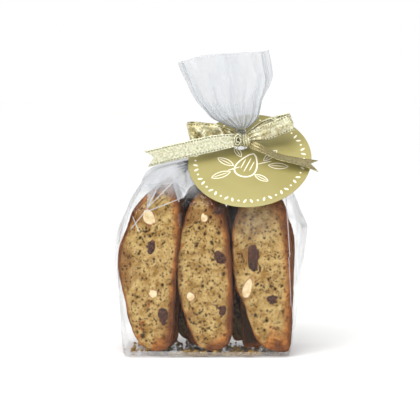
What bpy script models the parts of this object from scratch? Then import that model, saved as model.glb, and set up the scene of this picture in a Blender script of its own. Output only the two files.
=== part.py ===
"""A clear gusseted bag of biscotti, gathered at the neck, with a round card collar and a ribbon bow.

Metres, +Z up. The origin is the centre of the bag's flat base, and -Y is the front.
Three solids: the filled bag with its fanned top, the ribbon bow and the card collar.
"""
import math

import bmesh
import bpy
from mathutils import Matrix, Vector

MM = 0.001

# The bag
NECK_X = 19.0 * MM            # the tie sits right of the middle of the base
NECK_LOW = 121.5 * MM
NECK_HIGH = 134.5 * MM
FAN_TOP = 181.0 * MM
FAN_DROP = 5.5 * MM           # how much lower the fan's left corner is than its top edge
PANEL_STEPS = 14              # points along the front panel, and along the back one
GUSSET_STEPS = 6              # points along each half of a side gusset
LEVEL_STEP = 4.5 * MM         # height between two rings of the bag's skin
FAN_PLEATS = 11
FAN_PLEAT_DEPTH = 1.4 * MM
SHOULDER_PLEATS = 8
SHOULDER_PLEAT_DEPTH = 0.7 * MM

# The outline at the heights where it changes: height, left edge, right edge, front, back,
# and how far the left and right gussets stand out past those edges (millimetres)
BAG_STATIONS = (
    (0.0, -50.0, 46.0, -28.0, 28.0, 0.0, 0.0),
    (2.5, -51.5, 47.5, -29.5, 29.5, 0.5, 0.5),
    (30.0, -51.5, 50.0, -30.0, 30.0, 4.5, 4.8),
    (60.0, -51.5, 50.5, -30.0, 30.0, 7.0, 7.0),
    (75.0, -50.0, 50.5, -29.5, 30.0, 5.5, 8.0),
    (90.0, -44.5, 48.5, -27.0, 29.0, 3.0, 5.0),
    (104.0, -39.0, 44.5, -15.5, 26.0, 1.5, 3.0),
    (111.0, -33.0, 38.0, -8.5, 20.0, 0.0, 0.0),
    (117.0, -8.0, 30.0, -4.0, 11.0, 0.0, 0.0),
    (121.5, 16.8, 21.2, -2.2, 2.2, 0.0, 0.0),
    (134.5, 16.8, 21.2, -2.2, 2.2, 0.0, 0.0),
    (137.2, 9.0, 26.8, -3.0, 3.0, 0.0, 0.0),
    (141.5, 0.0, 30.0, -4.0, 4.0, 0.0, 0.0),
    (152.0, -8.0, 32.5, -5.0, 5.0, 0.0, 0.0),
    (166.0, -14.5, 38.0, -6.0, 6.0, 0.0, 0.0),
    (181.0, -18.5, 37.0, -7.0, 7.0, 0.0, 0.0),
)

# The card collar
TAG_RADIUS = 37.0 * MM
TAG_THICKNESS = 0.5 * MM
TAG_HOLE_RADIUS = 5.2 * MM
TAG_TILT = math.radians(45.5)     # its front edge hangs down over the bag
TAG_ROLL = math.radians(-6.0)     # its right side sits higher than its left
TAG_SEAT = 125.6 * MM             # height at which the neck passes through it
TAG_HOLE_OFFSET = (-4.0 * MM, 13.9 * MM)   # hole from the disc's centre, across and up the slope
TAG_SIDES = 96
TAG_HOLE_SIDES = 32

# The ribbon
RIBBON_WIDTH = 10.0 * MM
RIBBON_THICKNESS = 0.7 * MM
NOTCH_DEPTH = 5.0 * MM
STRAP_STEPS = 6               # strips between two points of a strap's route
KNOT_CENTRE = Vector((19.6, -8.0, 128.6)) * MM
KNOT_HALF_SIZE = Vector((6.0, 4.6, 4.3)) * MM
BAND_SEAT = 130.3 * MM
BAND_INNER = 3.5 * MM
BAND_WALL = 1.2 * MM
BAND_HEIGHT = 3.4 * MM
BAND_TILT = math.radians(28.0)
BAND_SIDES = 32

# Routes of the ribbon's middle line: place in millimetres, the way its width points there,
# and the share of its width that is spread out, since it is bunched in the knot
LEFT_TAIL = (
    ((17.5, -10.0, 128.4), (-0.20, -0.10, 1.0), 0.45),
    ((2.0, -12.3, 126.2), (-0.22, -0.15, 1.0), 1.0),
    ((-19.0, -12.8, 121.6), (-0.20, -0.15, 1.0), 1.0),
    ((-38.0, -13.5, 116.9), (-0.38, -0.10, 1.0), 1.0),
)
RIGHT_TAIL = (
    ((20.5, -9.4, 127.6), (0.20, 0.10, 1.0), 0.35),
    ((30.0, -13.5, 124.0), (0.10, 0.85, 0.50), 0.8),
    ((41.0, -16.0, 118.6), (0.00, 0.94, 0.33), 1.0),
    ((53.0, -19.0, 115.9), (-0.05, 0.92, 0.38), 1.0),
    ((64.6, -17.5, 113.0), (-0.31, 0.66, 0.68), 1.0),
)
LEFT_LOOP = (
    ((17.0, -8.6, 129.8), (0.10, 0.00, 1.0), 0.4),
    ((3.0, -10.3, 133.2), (0.15, 0.10, 1.0), 0.95),
    ((-9.5, -10.0, 133.2), (0.05, 0.10, 1.0), 1.0),
    ((-11.5, -8.0, 133.4), (-0.05, 0.05, 1.0), 1.0),
    ((-9.0, -6.0, 134.0), (-0.10, 0.0, 1.0), 1.0),
    ((3.5, -6.2, 132.6), (0.15, 0.0, 1.0), 0.95),
    ((17.0, -6.2, 129.2), (0.10, 0.0, 1.0), 0.4),
)
RIGHT_LOOP = (
    ((21.5, -9.6, 129.2), (-0.30, 0.0, 1.0), 0.4),
    ((33.0, -12.6, 132.4), (-0.35, -0.10, 1.0), 0.95),
    ((46.0, -12.2, 137.6), (-0.45, -0.05, 1.0), 1.0),
    ((49.0, -10.0, 138.8), (-0.45, 0.0, 1.0), 1.0),
    ((45.5, -7.6, 138.8), (-0.40, 0.05, 1.0), 1.0),
    ((33.5, -7.2, 135.2), (-0.35, 0.0, 1.0), 0.95),
    ((21.5, -6.6, 129.4), (-0.30, 0.0, 1.0), 0.4),
)

CLEAR_FILM = ("clear_film", (0.86, 0.86, 0.85), 0.12, 0.0)
OLIVE_CARD = ("olive_gold_card", (0.52, 0.47, 0.19), 0.45, 0.0)
GOLD_RIBBON = ("pale_gold_ribbon", (0.68, 0.66, 0.42), 0.40, 0.3)


def remove_all_objects():
    """Empty the scene."""
    for item in list(bpy.data.objects):
        bpy.data.objects.remove(item, do_unlink=True)


def finish_material(name, colour, roughness, metallic):
    """Make a plain material with one colour."""
    material = bpy.data.materials.new(name)
    material.use_nodes = True
    shader = material.node_tree.nodes["Principled BSDF"]
    shader.inputs["Base Color"].default_value = (*colour, 1.0)
    shader.inputs["Roughness"].default_value = roughness
    shader.inputs["Metallic"].default_value = metallic
    return material


def object_from(bm, name, finish):
    """Turn a bmesh into a smooth-shaded object with one material."""
    mesh = bpy.data.meshes.new(name)
    bmesh.ops.recalc_face_normals(bm, faces=bm.faces)
    bm.to_mesh(mesh)
    bm.free()
    mesh.shade_smooth()
    mesh.set_sharp_from_angle(angle=math.radians(40.0))
    mesh.materials.append(finish_material(*finish))
    item = bpy.data.objects.new(name, mesh)
    bpy.context.scene.collection.objects.link(item)
    return item


def smooth_between(values, positions, place):
    """Read a table at a place, on a curve that never overshoots its entries."""
    last = len(positions) - 1
    index = 0
    while index < last - 1 and place > positions[index + 1]:
        index += 1
    slopes = [(values[i + 1] - values[i]) / (positions[i + 1] - positions[i]) for i in range(last)]

    def tangent(i):
        if i == 0:
            return slopes[0]
        if i == last:
            return slopes[-1]
        before, after = slopes[i - 1], slopes[i]
        if before * after <= 0.0:
            return 0.0
        return 2.0 * before * after / (before + after)

    span = positions[index + 1] - positions[index]
    t = min(max((place - positions[index]) / span, 0.0), 1.0)
    start, end = values[index], values[index + 1]
    rise = 3.0 * t ** 2 - 2.0 * t ** 3
    leave = (t ** 3 - 2.0 * t ** 2 + t) * span * tangent(index)
    arrive = (t ** 3 - t ** 2) * span * tangent(index + 1)
    return start + (end - start) * rise + leave + arrive


def bag_station(height):
    """Return the bag's outline numbers at one height, in metres."""
    heights = [station[0] for station in BAG_STATIONS]
    columns = list(zip(*BAG_STATIONS))[1:]
    return [smooth_between(column, heights, height / MM) * MM for column in columns]


def round_off(points, passes):
    """Soften a closed outline's corners by averaging each point with its neighbours."""
    for _ in range(passes):
        points = [
            points[i] * 0.5 + (points[i - 1] + points[(i + 1) % len(points)]) * 0.25
            for i in range(len(points))
        ]
    return points


def bag_outline(height):
    """Lay out the ring of points round the bag at one height: front, right, back and left."""
    left, right, front, back, left_out, right_out = bag_station(height)
    middle = (front + back) / 2.0
    corners = (
        (Vector((left, front, height)), PANEL_STEPS),
        (Vector((right, front, height)), GUSSET_STEPS),
        (Vector((right + right_out, middle, height)), GUSSET_STEPS),
        (Vector((right, back, height)), PANEL_STEPS),
        (Vector((left, back, height)), GUSSET_STEPS),
        (Vector((left - left_out, middle, height)), GUSSET_STEPS),
    )
    points = []
    for index, (corner, steps) in enumerate(corners):
        following = corners[(index + 1) % len(corners)][0]
        points += [corner.lerp(following, step / steps) for step in range(steps)]
    return round_off(points, 1 if height < NECK_LOW else 2)


def ramp(value, low, high):
    """Rise smoothly from 0 at low to 1 at high."""
    t = min(max((value - low) / (high - low), 0.0), 1.0)
    return t * t * (3.0 - 2.0 * t)


def pleated(points, height):
    """Push the outline in and out in pleats, over the shoulders and over the fan."""
    fan = ramp(height, NECK_HIGH, NECK_HIGH + 30.0 * MM) * FAN_PLEAT_DEPTH
    shoulder = ramp(height, 88.0 * MM, 108.0 * MM) * (1.0 - ramp(height, 114.0 * MM, NECK_LOW))
    shoulder *= SHOULDER_PLEAT_DEPTH
    count = len(points)
    result = []
    for index, point in enumerate(points):
        tangent = (points[(index + 1) % count] - points[index - 1]).normalized()
        outward = tangent.cross(Vector((0.0, 0.0, 1.0)))
        turn = 2.0 * math.pi * index / count
        depth = fan * math.sin(FAN_PLEATS * turn) + shoulder * math.sin(SHOULDER_PLEATS * turn + 0.8)
        result.append(point + outward * depth)
    return result


def sloped_top(point):
    """Tip the fan's mouth: its left corner hangs lower and its right end is highest."""
    share = ramp(point.z, 150.0 * MM, FAN_TOP)
    fall = ramp(-point.x, 2.0 * MM, 20.0 * MM) * FAN_DROP
    lean = (37.0 * MM - point.x) * 0.045
    return point - Vector((0.0, 0.0, share * (fall + lean)))


def ring_of(bm, points):
    """Add a closed ring of edges through the points."""
    circle = bmesh.ops.create_circle(bm, segments=len(points), radius=1.0)
    verts = circle["verts"]
    for vert, point in zip(verts, points):
        vert.co = point
    return list({edge for vert in verts for edge in vert.link_edges})


def build_bag():
    """Loft the filled bag from its flat base to the mouth of its fan."""
    bm = bmesh.new()
    steps = math.ceil(FAN_TOP / LEVEL_STEP)
    heights = sorted(
        {round(FAN_TOP * step / steps, 6) for step in range(steps + 1)}
        | {1.2 * MM, NECK_LOW, NECK_HIGH}
    )
    first = None
    previous = None
    for height in heights:
        points = [sloped_top(point) for point in pleated(bag_outline(height), height)]
        ring = ring_of(bm, points)
        if previous is not None:
            bmesh.ops.bridge_loops(bm, edges=previous + ring)
        first = first or ring
        previous = ring
    bmesh.ops.holes_fill(bm, edges=first)
    bmesh.ops.holes_fill(bm, edges=previous)
    return object_from(bm, "bag", CLEAR_FILM)


def build_tag():
    """Cut the card disc with its hole, and seat it on the neck at its tilt."""
    bm = bmesh.new()
    rim = bmesh.ops.create_circle(bm, segments=TAG_SIDES, radius=TAG_RADIUS)["verts"]
    rim_edges = list({edge for vert in rim for edge in vert.link_edges})
    hole = bmesh.ops.create_circle(bm, segments=TAG_HOLE_SIDES, radius=TAG_HOLE_RADIUS)["verts"]
    hole_edges = list({edge for vert in hole for edge in vert.link_edges})
    across, up_slope = TAG_HOLE_OFFSET
    bmesh.ops.translate(bm, verts=rim, vec=(-across, -up_slope, 0.0))
    bmesh.ops.triangle_fill(bm, edges=rim_edges + hole_edges, use_beauty=True)
    for face in bm.faces:
        if face.normal.z < 0.0:
            face.normal_flip()
    bmesh.ops.solidify(bm, geom=bm.faces[:], thickness=TAG_THICKNESS)
    tag = object_from(bm, "tag", OLIVE_CARD)
    tag.matrix_world = (
        Matrix.Translation((NECK_X, 0.0, TAG_SEAT))
        @ Matrix.Rotation(TAG_ROLL, 4, "Y")
        @ Matrix.Rotation(TAG_TILT, 4, "X")
    )
    return tag


def curve_point(points, place):
    """Read a smooth curve through the points; place counts points from 0."""
    index = min(int(place), len(points) - 2)
    t = place - index
    here, following = points[index], points[index + 1]
    before = points[index - 1] if index > 0 else here * 2.0 - following
    after = points[index + 2] if index + 2 < len(points) else following * 2.0 - here
    return (
        here * 2.0
        + (following - before) * t
        + (before * 2.0 - here * 5.0 + following * 4.0 - after) * t ** 2
        + (here * 3.0 - before - following * 3.0 + after) * t ** 3
    ) * 0.5


def build_strap(name, route, notched):
    """Sweep a flat ribbon along its route; a free end is cut to a swallowtail."""
    centres = [Vector(point) * MM for point, _, _ in route]
    widths = [Vector(direction).normalized() for _, direction, _ in route]
    shares = [share for _, _, share in route]
    steps = (len(route) - 1) * STRAP_STEPS
    bm = bmesh.new()
    rows = []
    for step in range(steps + 1):
        place = step / STRAP_STEPS
        centre = curve_point(centres, place)
        along = curve_point(centres, min(place + 0.05, len(route) - 1.0)) - curve_point(
            centres, max(place - 0.05, 0.0))
        along.normalize()
        across = curve_point(widths, place)
        across = (across - along * across.dot(along)).normalized()
        width = RIBBON_WIDTH * smooth_between(shares, range(len(route)), place)
        row = [bm.verts.new(centre + across * width * side) for side in (-0.5, 0.0, 0.5)]
        rows.append(row)
    if notched:
        rows[-1][1].co -= along * NOTCH_DEPTH
    for lower, upper in zip(rows, rows[1:]):
        for side in range(2):
            bm.faces.new((lower[side], lower[side + 1], upper[side + 1], upper[side]))
    bm.normal_update()
    bmesh.ops.solidify(bm, geom=bm.faces[:], thickness=RIBBON_THICKNESS)
    return object_from(bm, name, GOLD_RIBBON)


def build_knot():
    """Make the bow's bunched middle."""
    bm = bmesh.new()
    bmesh.ops.create_icosphere(bm, subdivisions=3, radius=1.0)
    bmesh.ops.scale(bm, verts=bm.verts, vec=KNOT_HALF_SIZE)
    bmesh.ops.translate(bm, verts=bm.verts, vec=KNOT_CENTRE)
    return object_from(bm, "ribbon", GOLD_RIBBON)


def build_band():
    """Make the turn of ribbon that draws the neck together."""
    bm = bmesh.new()
    half = BAND_HEIGHT / 2.0
    corners = [
        (BAND_INNER, -half), (BAND_INNER + BAND_WALL, -half),
        (BAND_INNER + BAND_WALL, half), (BAND_INNER, half),
    ]
    profile = [bm.verts.new((radius, 0.0, height)) for radius, height in corners]
    edges = [bm.edges.new((profile[i - 1], profile[i])) for i in range(len(profile))]
    bmesh.ops.spin(bm, geom=edges, axis=(0.0, 0.0, 1.0), cent=(0.0, 0.0, 0.0),
                   angle=2.0 * math.pi, steps=BAND_SIDES, use_merge=True)
    bmesh.ops.remove_doubles(bm, verts=bm.verts, dist=0.00001)
    sloped = Matrix.Translation((NECK_X, 0.0, BAND_SEAT))
    sloped[2][1] = math.tan(BAND_TILT)
    bmesh.ops.transform(bm, matrix=sloped, verts=bm.verts)
    return object_from(bm, "neck_band", GOLD_RIBBON)


def unite(item, others):
    """Join overlapping pieces to one body."""
    for other in others:
        other.hide_render = True
        other.display_type = "WIRE"
        union = item.modifiers.new("join_" + other.name, "BOOLEAN")
        union.operation = "UNION"
        union.solver = "EXACT"
        union.object = other


def build_ribbon():
    """Tie the bow: knot, neck band, two loops and two free tails."""
    knot = build_knot()
    unite(knot, [
        build_band(),
        build_strap("left_loop", LEFT_LOOP, notched=False),
        build_strap("right_loop", RIGHT_LOOP, notched=False),
        build_strap("left_tail", LEFT_TAIL, notched=True),
        build_strap("right_tail", RIGHT_TAIL, notched=True),
    ])
    return knot


remove_all_objects()
build_bag()
build_tag()
build_ribbon()
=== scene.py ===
"""Looks of a clear film bag of almond and raisin biscotti, tied with a ribbon through a card collar."""

import logging
import math
from dataclasses import dataclass, field
from enum import Enum

import bmesh
import bpy
import numpy as np
from mathutils import Matrix, Vector


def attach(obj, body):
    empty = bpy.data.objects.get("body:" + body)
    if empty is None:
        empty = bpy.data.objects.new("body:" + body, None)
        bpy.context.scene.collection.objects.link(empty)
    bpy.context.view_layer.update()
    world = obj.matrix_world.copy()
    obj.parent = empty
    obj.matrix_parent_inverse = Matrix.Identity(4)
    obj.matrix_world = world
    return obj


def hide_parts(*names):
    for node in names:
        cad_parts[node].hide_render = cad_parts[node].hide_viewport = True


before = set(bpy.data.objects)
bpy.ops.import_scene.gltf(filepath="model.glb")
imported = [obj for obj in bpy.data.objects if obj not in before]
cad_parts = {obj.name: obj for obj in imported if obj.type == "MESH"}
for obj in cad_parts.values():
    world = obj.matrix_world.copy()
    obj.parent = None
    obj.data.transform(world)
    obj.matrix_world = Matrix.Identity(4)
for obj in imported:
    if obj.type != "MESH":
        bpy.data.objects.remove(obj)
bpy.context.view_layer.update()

logging.basicConfig(level=logging.INFO, format="%(message)s")
LOG = logging.getLogger("biscotti_bag")

MM = 0.001
BODY = "root"
Points = np.ndarray


# ---------------------------------------------------------------- shared tools


def linear(hex_colour: str) -> tuple[float, float, float, float]:
    """Turn an sRGB hex colour to linear RGBA.

    Args:
        hex_colour: six hex digits, such as "C9A66B".

    Returns:
        Red, green, blue and an alpha of 1.
    """
    channels = [int(hex_colour[i:i + 2], 16) / 255.0 for i in (0, 2, 4)]
    values = [c / 12.92 if c <= 0.04045 else ((c + 0.055) / 1.055) ** 2.4 for c in channels]
    return (*values, 1.0)


def add_node(tree: bpy.types.NodeTree, kind: str, settings: dict | None = None,
             links: dict | None = None) -> bpy.types.Node:
    """Add one shader node with its settings and links.

    Args:
        tree: the material's node tree.
        kind: the node's type without its ShaderNode prefix.
        settings: input or property name to value.
        links: input name or number to the output socket that feeds it.

    Returns:
        The new node.
    """
    node = tree.nodes.new("ShaderNode" + kind)
    for name, value in (settings or {}).items():
        if isinstance(name, int):
            node.inputs[name].default_value = value
        elif hasattr(node, name):
            setattr(node, name, value)
        else:
            node.inputs[name].default_value = value
    for name, socket in (links or {}).items():
        tree.links.new(socket, node.inputs[name])
    return node


def ramp_node(tree: bpy.types.NodeTree, source: bpy.types.NodeSocket,
              stops: list[tuple[float, tuple]]) -> bpy.types.NodeSocket:
    """Add a colour ramp.

    Args:
        tree: the material's node tree.
        source: the value that drives the ramp.
        stops: places from 0 to 1 with their colours.

    Returns:
        The ramp's colour socket.
    """
    node = add_node(tree, "ValToRGB", links={0: source})
    ramp = node.color_ramp
    for place, _ in stops[2:]:
        ramp.elements.new(place)
    for element, (place, colour) in zip(ramp.elements, stops):
        element.position = place
        element.color = colour
    return node.outputs["Color"]


def mix_colours(tree: bpy.types.NodeTree, share: bpy.types.NodeSocket | float,
                low: bpy.types.NodeSocket | tuple, high: bpy.types.NodeSocket | tuple,
                blend: str = "MIX") -> bpy.types.NodeSocket:
    """Mix two colours by a share.

    Args:
        tree: the material's node tree.
        share: socket or number from 0 to 1.
        low: the colour at 0.
        high: the colour at 1.
        blend: the blend type.

    Returns:
        The mixed colour's socket.
    """
    node = add_node(tree, "Mix", {"data_type": "RGBA", "blend_type": blend})
    for number, value in ((0, share), (6, low), (7, high)):
        if isinstance(value, bpy.types.NodeSocket):
            tree.links.new(value, node.inputs[number])
        else:
            node.inputs[number].default_value = value
    return node.outputs[2]


def do_math(tree: bpy.types.NodeTree, operation: str, *values: bpy.types.NodeSocket | float,
            clamp: bool = False) -> bpy.types.NodeSocket:
    """Apply one Math node.

    Args:
        tree: the material's node tree.
        operation: the Math node's operation.
        values: sockets or numbers.
        clamp: whether the result is held between 0 and 1.

    Returns:
        The result's socket.
    """
    node = add_node(tree, "Math", {"operation": operation, "use_clamp": clamp})
    for number, value in enumerate(values):
        if isinstance(value, bpy.types.NodeSocket):
            tree.links.new(value, node.inputs[number])
        else:
            node.inputs[number].default_value = value
    return node.outputs[0]


def new_material(name: str) -> tuple[bpy.types.Material, bpy.types.NodeTree, bpy.types.Node]:
    """Start a node material.

    Args:
        name: the finish's name.

    Returns:
        The material, its tree and its Principled shader.
    """
    material = bpy.data.materials.new(name)
    material.use_nodes = True
    tree = material.node_tree
    return material, tree, tree.nodes["Principled BSDF"]


def bump(tree: bpy.types.NodeTree, shader: bpy.types.Node, height: bpy.types.NodeSocket,
         depth: float, strength: float = 1.0) -> None:
    """Feed a height field to a shader's normal.

    Args:
        tree: the material's node tree.
        shader: the node that takes the normal.
        height: the height socket, from 0 to 1.
        depth: what a height of 1 is, in metres.
        strength: the bump's strength.
    """
    node = add_node(tree, "Bump", {"Strength": strength, "Distance": depth}, {"Height": height})
    tree.links.new(node.outputs["Normal"], shader.inputs["Normal"])


def place_piece(piece: bpy.types.Object, nodes: tuple[str, ...] = ()) -> None:
    """Fix a finished piece to the body and hide the CAD parts that it replaces.

    Args:
        piece: the finished object.
        nodes: the CAD nodes that it replaces.
    """
    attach(piece, BODY)
    if nodes:
        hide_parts(*nodes)
    LOG.info("made %s with %d faces", piece.name, len(piece.data.polygons))


def object_from(bm: bmesh.types.BMesh, name: str, material: bpy.types.Material,
                smooth: bool = True) -> bpy.types.Object:
    """Turn a bmesh into an object with one material.

    Args:
        bm: the bmesh, which is freed.
        name: the piece's name.
        material: its finish.
        smooth: whether its faces are shaded smooth.

    Returns:
        The new object at the origin.
    """
    mesh = bpy.data.meshes.new(name)
    bm.to_mesh(mesh)
    bm.free()
    if smooth:
        mesh.shade_smooth()
    mesh.materials.append(material)
    piece = bpy.data.objects.new(name, mesh)
    bpy.context.scene.collection.objects.link(piece)
    return piece


def read_points(mesh: bpy.types.Mesh) -> Points:
    """Return a mesh's vertex places as an array of rows."""
    flat = np.zeros(len(mesh.vertices) * 3, np.float32)
    mesh.vertices.foreach_get("co", flat)
    return flat.reshape(-1, 3).astype(float)


def write_points(mesh: bpy.types.Mesh, points: Points) -> None:
    """Move a mesh's vertices to the given places."""
    mesh.vertices.foreach_set("co", points.astype(np.float32).ravel())
    mesh.update()


def write_value(mesh: bpy.types.Mesh, name: str, values: Points) -> None:
    """Store one number for each vertex under a name that a material can read."""
    layer = mesh.attributes.new(name, "FLOAT", "POINT")
    layer.data.foreach_set("value", values.astype(np.float32))


def fresh_random(seed: int) -> np.random.Generator:
    """Return a seeded source of random numbers."""
    return np.random.default_rng(seed)


def lattice_values(cells: Points, seed: int) -> Points:
    """Give every whole-numbered cell its own fixed random number.

    Args:
        cells: rows of whole numbers.
        seed: which field of numbers.

    Returns:
        One number from -1 to 1 for each row.
    """
    mixed = np.full(len(cells), 2166136261 + seed * 7919, np.uint64)
    for column in range(cells.shape[1]):
        mixed = (mixed ^ (cells[:, column].astype(np.int64).astype(np.uint64) & np.uint64(0xFFFFFFFF)))
        mixed = (mixed * np.uint64(1099511628211 & 0xFFFFFFFF)) & np.uint64(0xFFFFFFFF)
        mixed ^= mixed >> np.uint64(13)
    mixed = (mixed * np.uint64(2654435761)) & np.uint64(0xFFFFFFFF)
    mixed ^= mixed >> np.uint64(15)
    return (mixed & np.uint64(0xFFFF)).astype(float) / 32767.5 - 1.0


def soft_noise(points: Points, size: float, seed: int) -> Points:
    """Smooth random field, about one bump for each size.

    Args:
        points: rows of 2 or 3 numbers.
        size: the bumps' width in the points' own unit.
        seed: which field.

    Returns:
        One number from -1 to 1 for each row.
    """
    scaled = points / size
    base = np.floor(scaled)
    part = scaled - base
    part = part * part * (3.0 - 2.0 * part)
    total = np.zeros(len(points))
    width = points.shape[1]
    for corner in range(2 ** width):
        step = np.array([(corner >> axis) & 1 for axis in range(width)], float)
        weight = np.prod(np.where(step > 0, part, 1.0 - part), axis=1)
        total += weight * lattice_values(base + step, seed)
    return total


def layered_noise(points: Points, size: float, seed: int, layers: int = 3) -> Points:
    """Sum soft noise at halving sizes.

    Args:
        points: rows of 2 or 3 numbers.
        size: the widest bumps' width.
        seed: which field.
        layers: how many sizes.

    Returns:
        One number for each row, roughly from -1 to 1.
    """
    total = np.zeros(len(points))
    for layer in range(layers):
        total += soft_noise(points, size / 2 ** layer, seed + 31 * layer) * 0.55 ** layer
    return total


def facet_noise(points: Points, size: float, seed: int) -> Points:
    """Random field of flat facets that meet in straight sharp creases, as in crumpled film.

    Args:
        points: rows of 2 numbers.
        size: the facets' width.
        seed: which field.

    Returns:
        One number from -1 to 1 for each row.
    """
    skew = (points[:, 0] + points[:, 1]) * 0.366025
    column = points / size + (skew / size)[:, None]
    base = np.floor(column)
    part = column - base
    upper = part[:, 0] > part[:, 1]
    middle = base + np.where(upper[:, None], np.array([1.0, 0.0]), np.array([0.0, 1.0]))
    large = np.maximum(part[:, 0], part[:, 1])
    small = np.minimum(part[:, 0], part[:, 1])
    return (
        (1.0 - large) * lattice_values(base, seed)
        + (large - small) * lattice_values(middle, seed)
        + small * lattice_values(base + 1.0, seed)
    )


def rise(values: Points | float, low: float, high: float) -> Points:
    """Rise smoothly from 0 at low to 1 at high."""
    t = np.clip((np.asarray(values, float) - low) / (high - low), 0.0, 1.0)
    return t * t * (3.0 - 2.0 * t)


def closed_curve(points: Points, count: int) -> Points:
    """Read a smooth closed curve through a few points.

    Args:
        points: rows of the points that shape it.
        count: how many places to read.

    Returns:
        That many rows.
    """
    number = len(points)
    place = np.arange(count) * number / count
    index = place.astype(int)
    t = (place - index)[:, None]
    before, here, after, beyond = (points[(index + k) % number] for k in (-1, 0, 1, 2))
    return 0.5 * (
        2.0 * here + (after - before) * t
        + (2.0 * before - 5.0 * here + 4.0 * after - beyond) * t ** 2
        + (3.0 * here - before - 3.0 * after + beyond) * t ** 3
    )


def open_curve(points: Points, places: Points) -> Points:
    """Read a smooth open curve through a few points; places count the points from 0."""
    last = len(points) - 1
    index = np.clip(places.astype(int), 0, last - 1)
    t = (places - index)[:, None]
    ends = np.vstack([2.0 * points[0] - points[1], points, 2.0 * points[-1] - points[-2]])
    before, here, after, beyond = (ends[index + k] for k in (0, 1, 2, 3))
    return 0.5 * (
        2.0 * here + (after - before) * t
        + (2.0 * before - 5.0 * here + 4.0 * after - beyond) * t ** 2
        + (3.0 * here - before - 3.0 * after + beyond) * t ** 3
    )


def unit(rows: Points) -> Points:
    """Scale each row to a length of 1."""
    return rows / np.maximum(np.linalg.norm(rows, axis=-1, keepdims=True), 1e-12)


# ---------------------------------------------------------------- finishes


@dataclass(frozen=True)
class BakedCrumb:
    """Twice-baked biscuit: an open golden crumb with pores inside a thin brown crust.

    The cut face is dull and mottled, browned by toasting on its high spots; the crust is darker and a little
    smoother. The pores are darkened with painted shade in their hollows. Attributes from the slice's own
    mesh mark the pores, the crust and the toasting; the toasting share also carries painted shade on the
    slices' right edges and over the back rows, which stand in shade.
    """

    pale: str = "BDA268"
    golden: str = "8F6C32"
    # The brown of toasting, also used for painted shade.
    toast_and_shade_brown: str = "7E5122"
    # Painted shade: the dark colour laid in the pores' hollows.
    pore_shade: str = "2E180A"
    crust_light: str = "BC7835"
    # The crust's darkest tone, also used for the crust's painted shade.
    crust_dark_and_shade: str = "5E3319"
    mottle_mm: float = 5.0
    grain_mm: float = 1.3
    bubble_mm: float = 1.7

    def build(self) -> bpy.types.Material:
        """Make the material."""
        material, tree, shader = new_material("baked_crumb")
        coords = add_node(tree, "TexCoord").outputs["Object"]
        mottle = add_node(tree, "TexNoise", {"Scale": 1.0 / (self.mottle_mm * MM), "Detail": 4.0,
                                             "Roughness": 0.6}, {"Vector": coords})
        grain = add_node(tree, "TexNoise", {"Scale": 1.0 / (self.grain_mm * MM), "Detail": 3.0,
                                            "Roughness": 0.65}, {"Vector": coords})
        pore_shade = add_node(tree, "Attribute", {"attribute_name": "pore_shade"}).outputs["Fac"]
        crust = add_node(tree, "Attribute", {"attribute_name": "crust"}).outputs["Fac"]
        toast_and_shade = add_node(tree, "Attribute", {"attribute_name": "toast_and_shade"}).outputs["Fac"]
        base = ramp_node(tree, mottle.outputs["Fac"], [
            (0.36, linear(self.golden)), (0.62, linear(self.pale))])
        speckle = do_math(tree, "MULTIPLY_ADD", grain.outputs["Fac"], 4.4, -2.35, clamp=True)
        # Tiny pores from a texture: each gets a small dent and a painted shade darkening.
        cells = add_node(tree, "TexVoronoi", {"Scale": 1.0 / (self.bubble_mm * MM), "Randomness": 1.0},
                         {"Vector": coords})
        tiny = do_math(tree, "MULTIPLY_ADD", cells.outputs["Distance"], -7.0, 1.9, clamp=True)
        open_here = do_math(tree, "MULTIPLY_ADD", grain.outputs["Fac"], 6.0, -2.9, clamp=True)
        bubbles = do_math(tree, "MULTIPLY", do_math(tree, "MULTIPLY", tiny, open_here), 0.85)
        spotted = mix_colours(tree, do_math(tree, "MULTIPLY", speckle, 0.55), base, linear(self.toast_and_shade_brown))
        # The toasting share browns the face with real toasting and with painted shade.
        toast_and_shade_face = mix_colours(tree, do_math(tree, "MULTIPLY", toast_and_shade, 0.75), spotted, linear(self.toast_and_shade_brown))
        # Painted shade in the pores, and over the whole face where a slice stands in shade.
        with_pore_shade = mix_colours(tree, do_math(tree, "MAXIMUM", pore_shade, bubbles), toast_and_shade_face, linear(self.pore_shade))
        skin = ramp_node(tree, mottle.outputs["Fac"], [
            (0.34, linear(self.crust_dark_and_shade)), (0.66, linear(self.crust_light))])
        # The crust darkens by the same share: real toasting and painted shade.
        shaded = mix_colours(tree, do_math(tree, "MULTIPLY", toast_and_shade, 0.8), skin, linear(self.crust_dark_and_shade))
        whole = mix_colours(tree, crust, with_pore_shade, shaded)
        tree.links.new(whole, shader.inputs["Base Color"])
        shader.inputs["Roughness"].default_value = 0.78
        shader.inputs["Specular IOR Level"].default_value = 0.25
        relief = do_math(tree, "SUBTRACT", grain.outputs["Fac"], do_math(tree, "MULTIPLY", bubbles, 0.6))
        bump(tree, shader, relief, 0.6 * MM, 0.9)
        return material


@dataclass(frozen=True)
class DriedRaisin:
    """Sun-dried raisin: a wrinkled, slightly sticky skin, dark purple-brown with a dull gloss."""

    dark: str = "1F1009"
    light: str = "5C3421"
    wrinkle_mm: float = 1.6

    def build(self) -> bpy.types.Material:
        """Make the material."""
        material, tree, shader = new_material("dried_raisin")
        coords = add_node(tree, "TexCoord").outputs["Object"]
        wrinkles = add_node(tree, "TexNoise", {"Scale": 1.0 / (self.wrinkle_mm * MM), "Detail": 4.0,
                                               "Distortion": 0.8}, {"Vector": coords})
        tone = ramp_node(tree, wrinkles.outputs["Fac"], [
            (0.38, linear(self.dark)), (0.68, linear(self.light))])
        tree.links.new(tone, shader.inputs["Base Color"])
        shader.inputs["Roughness"].default_value = 0.55
        shader.inputs["Specular IOR Level"].default_value = 0.3
        bump(tree, shader, wrinkles.outputs["Fac"], 0.5 * MM, 0.8)
        return material


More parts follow.
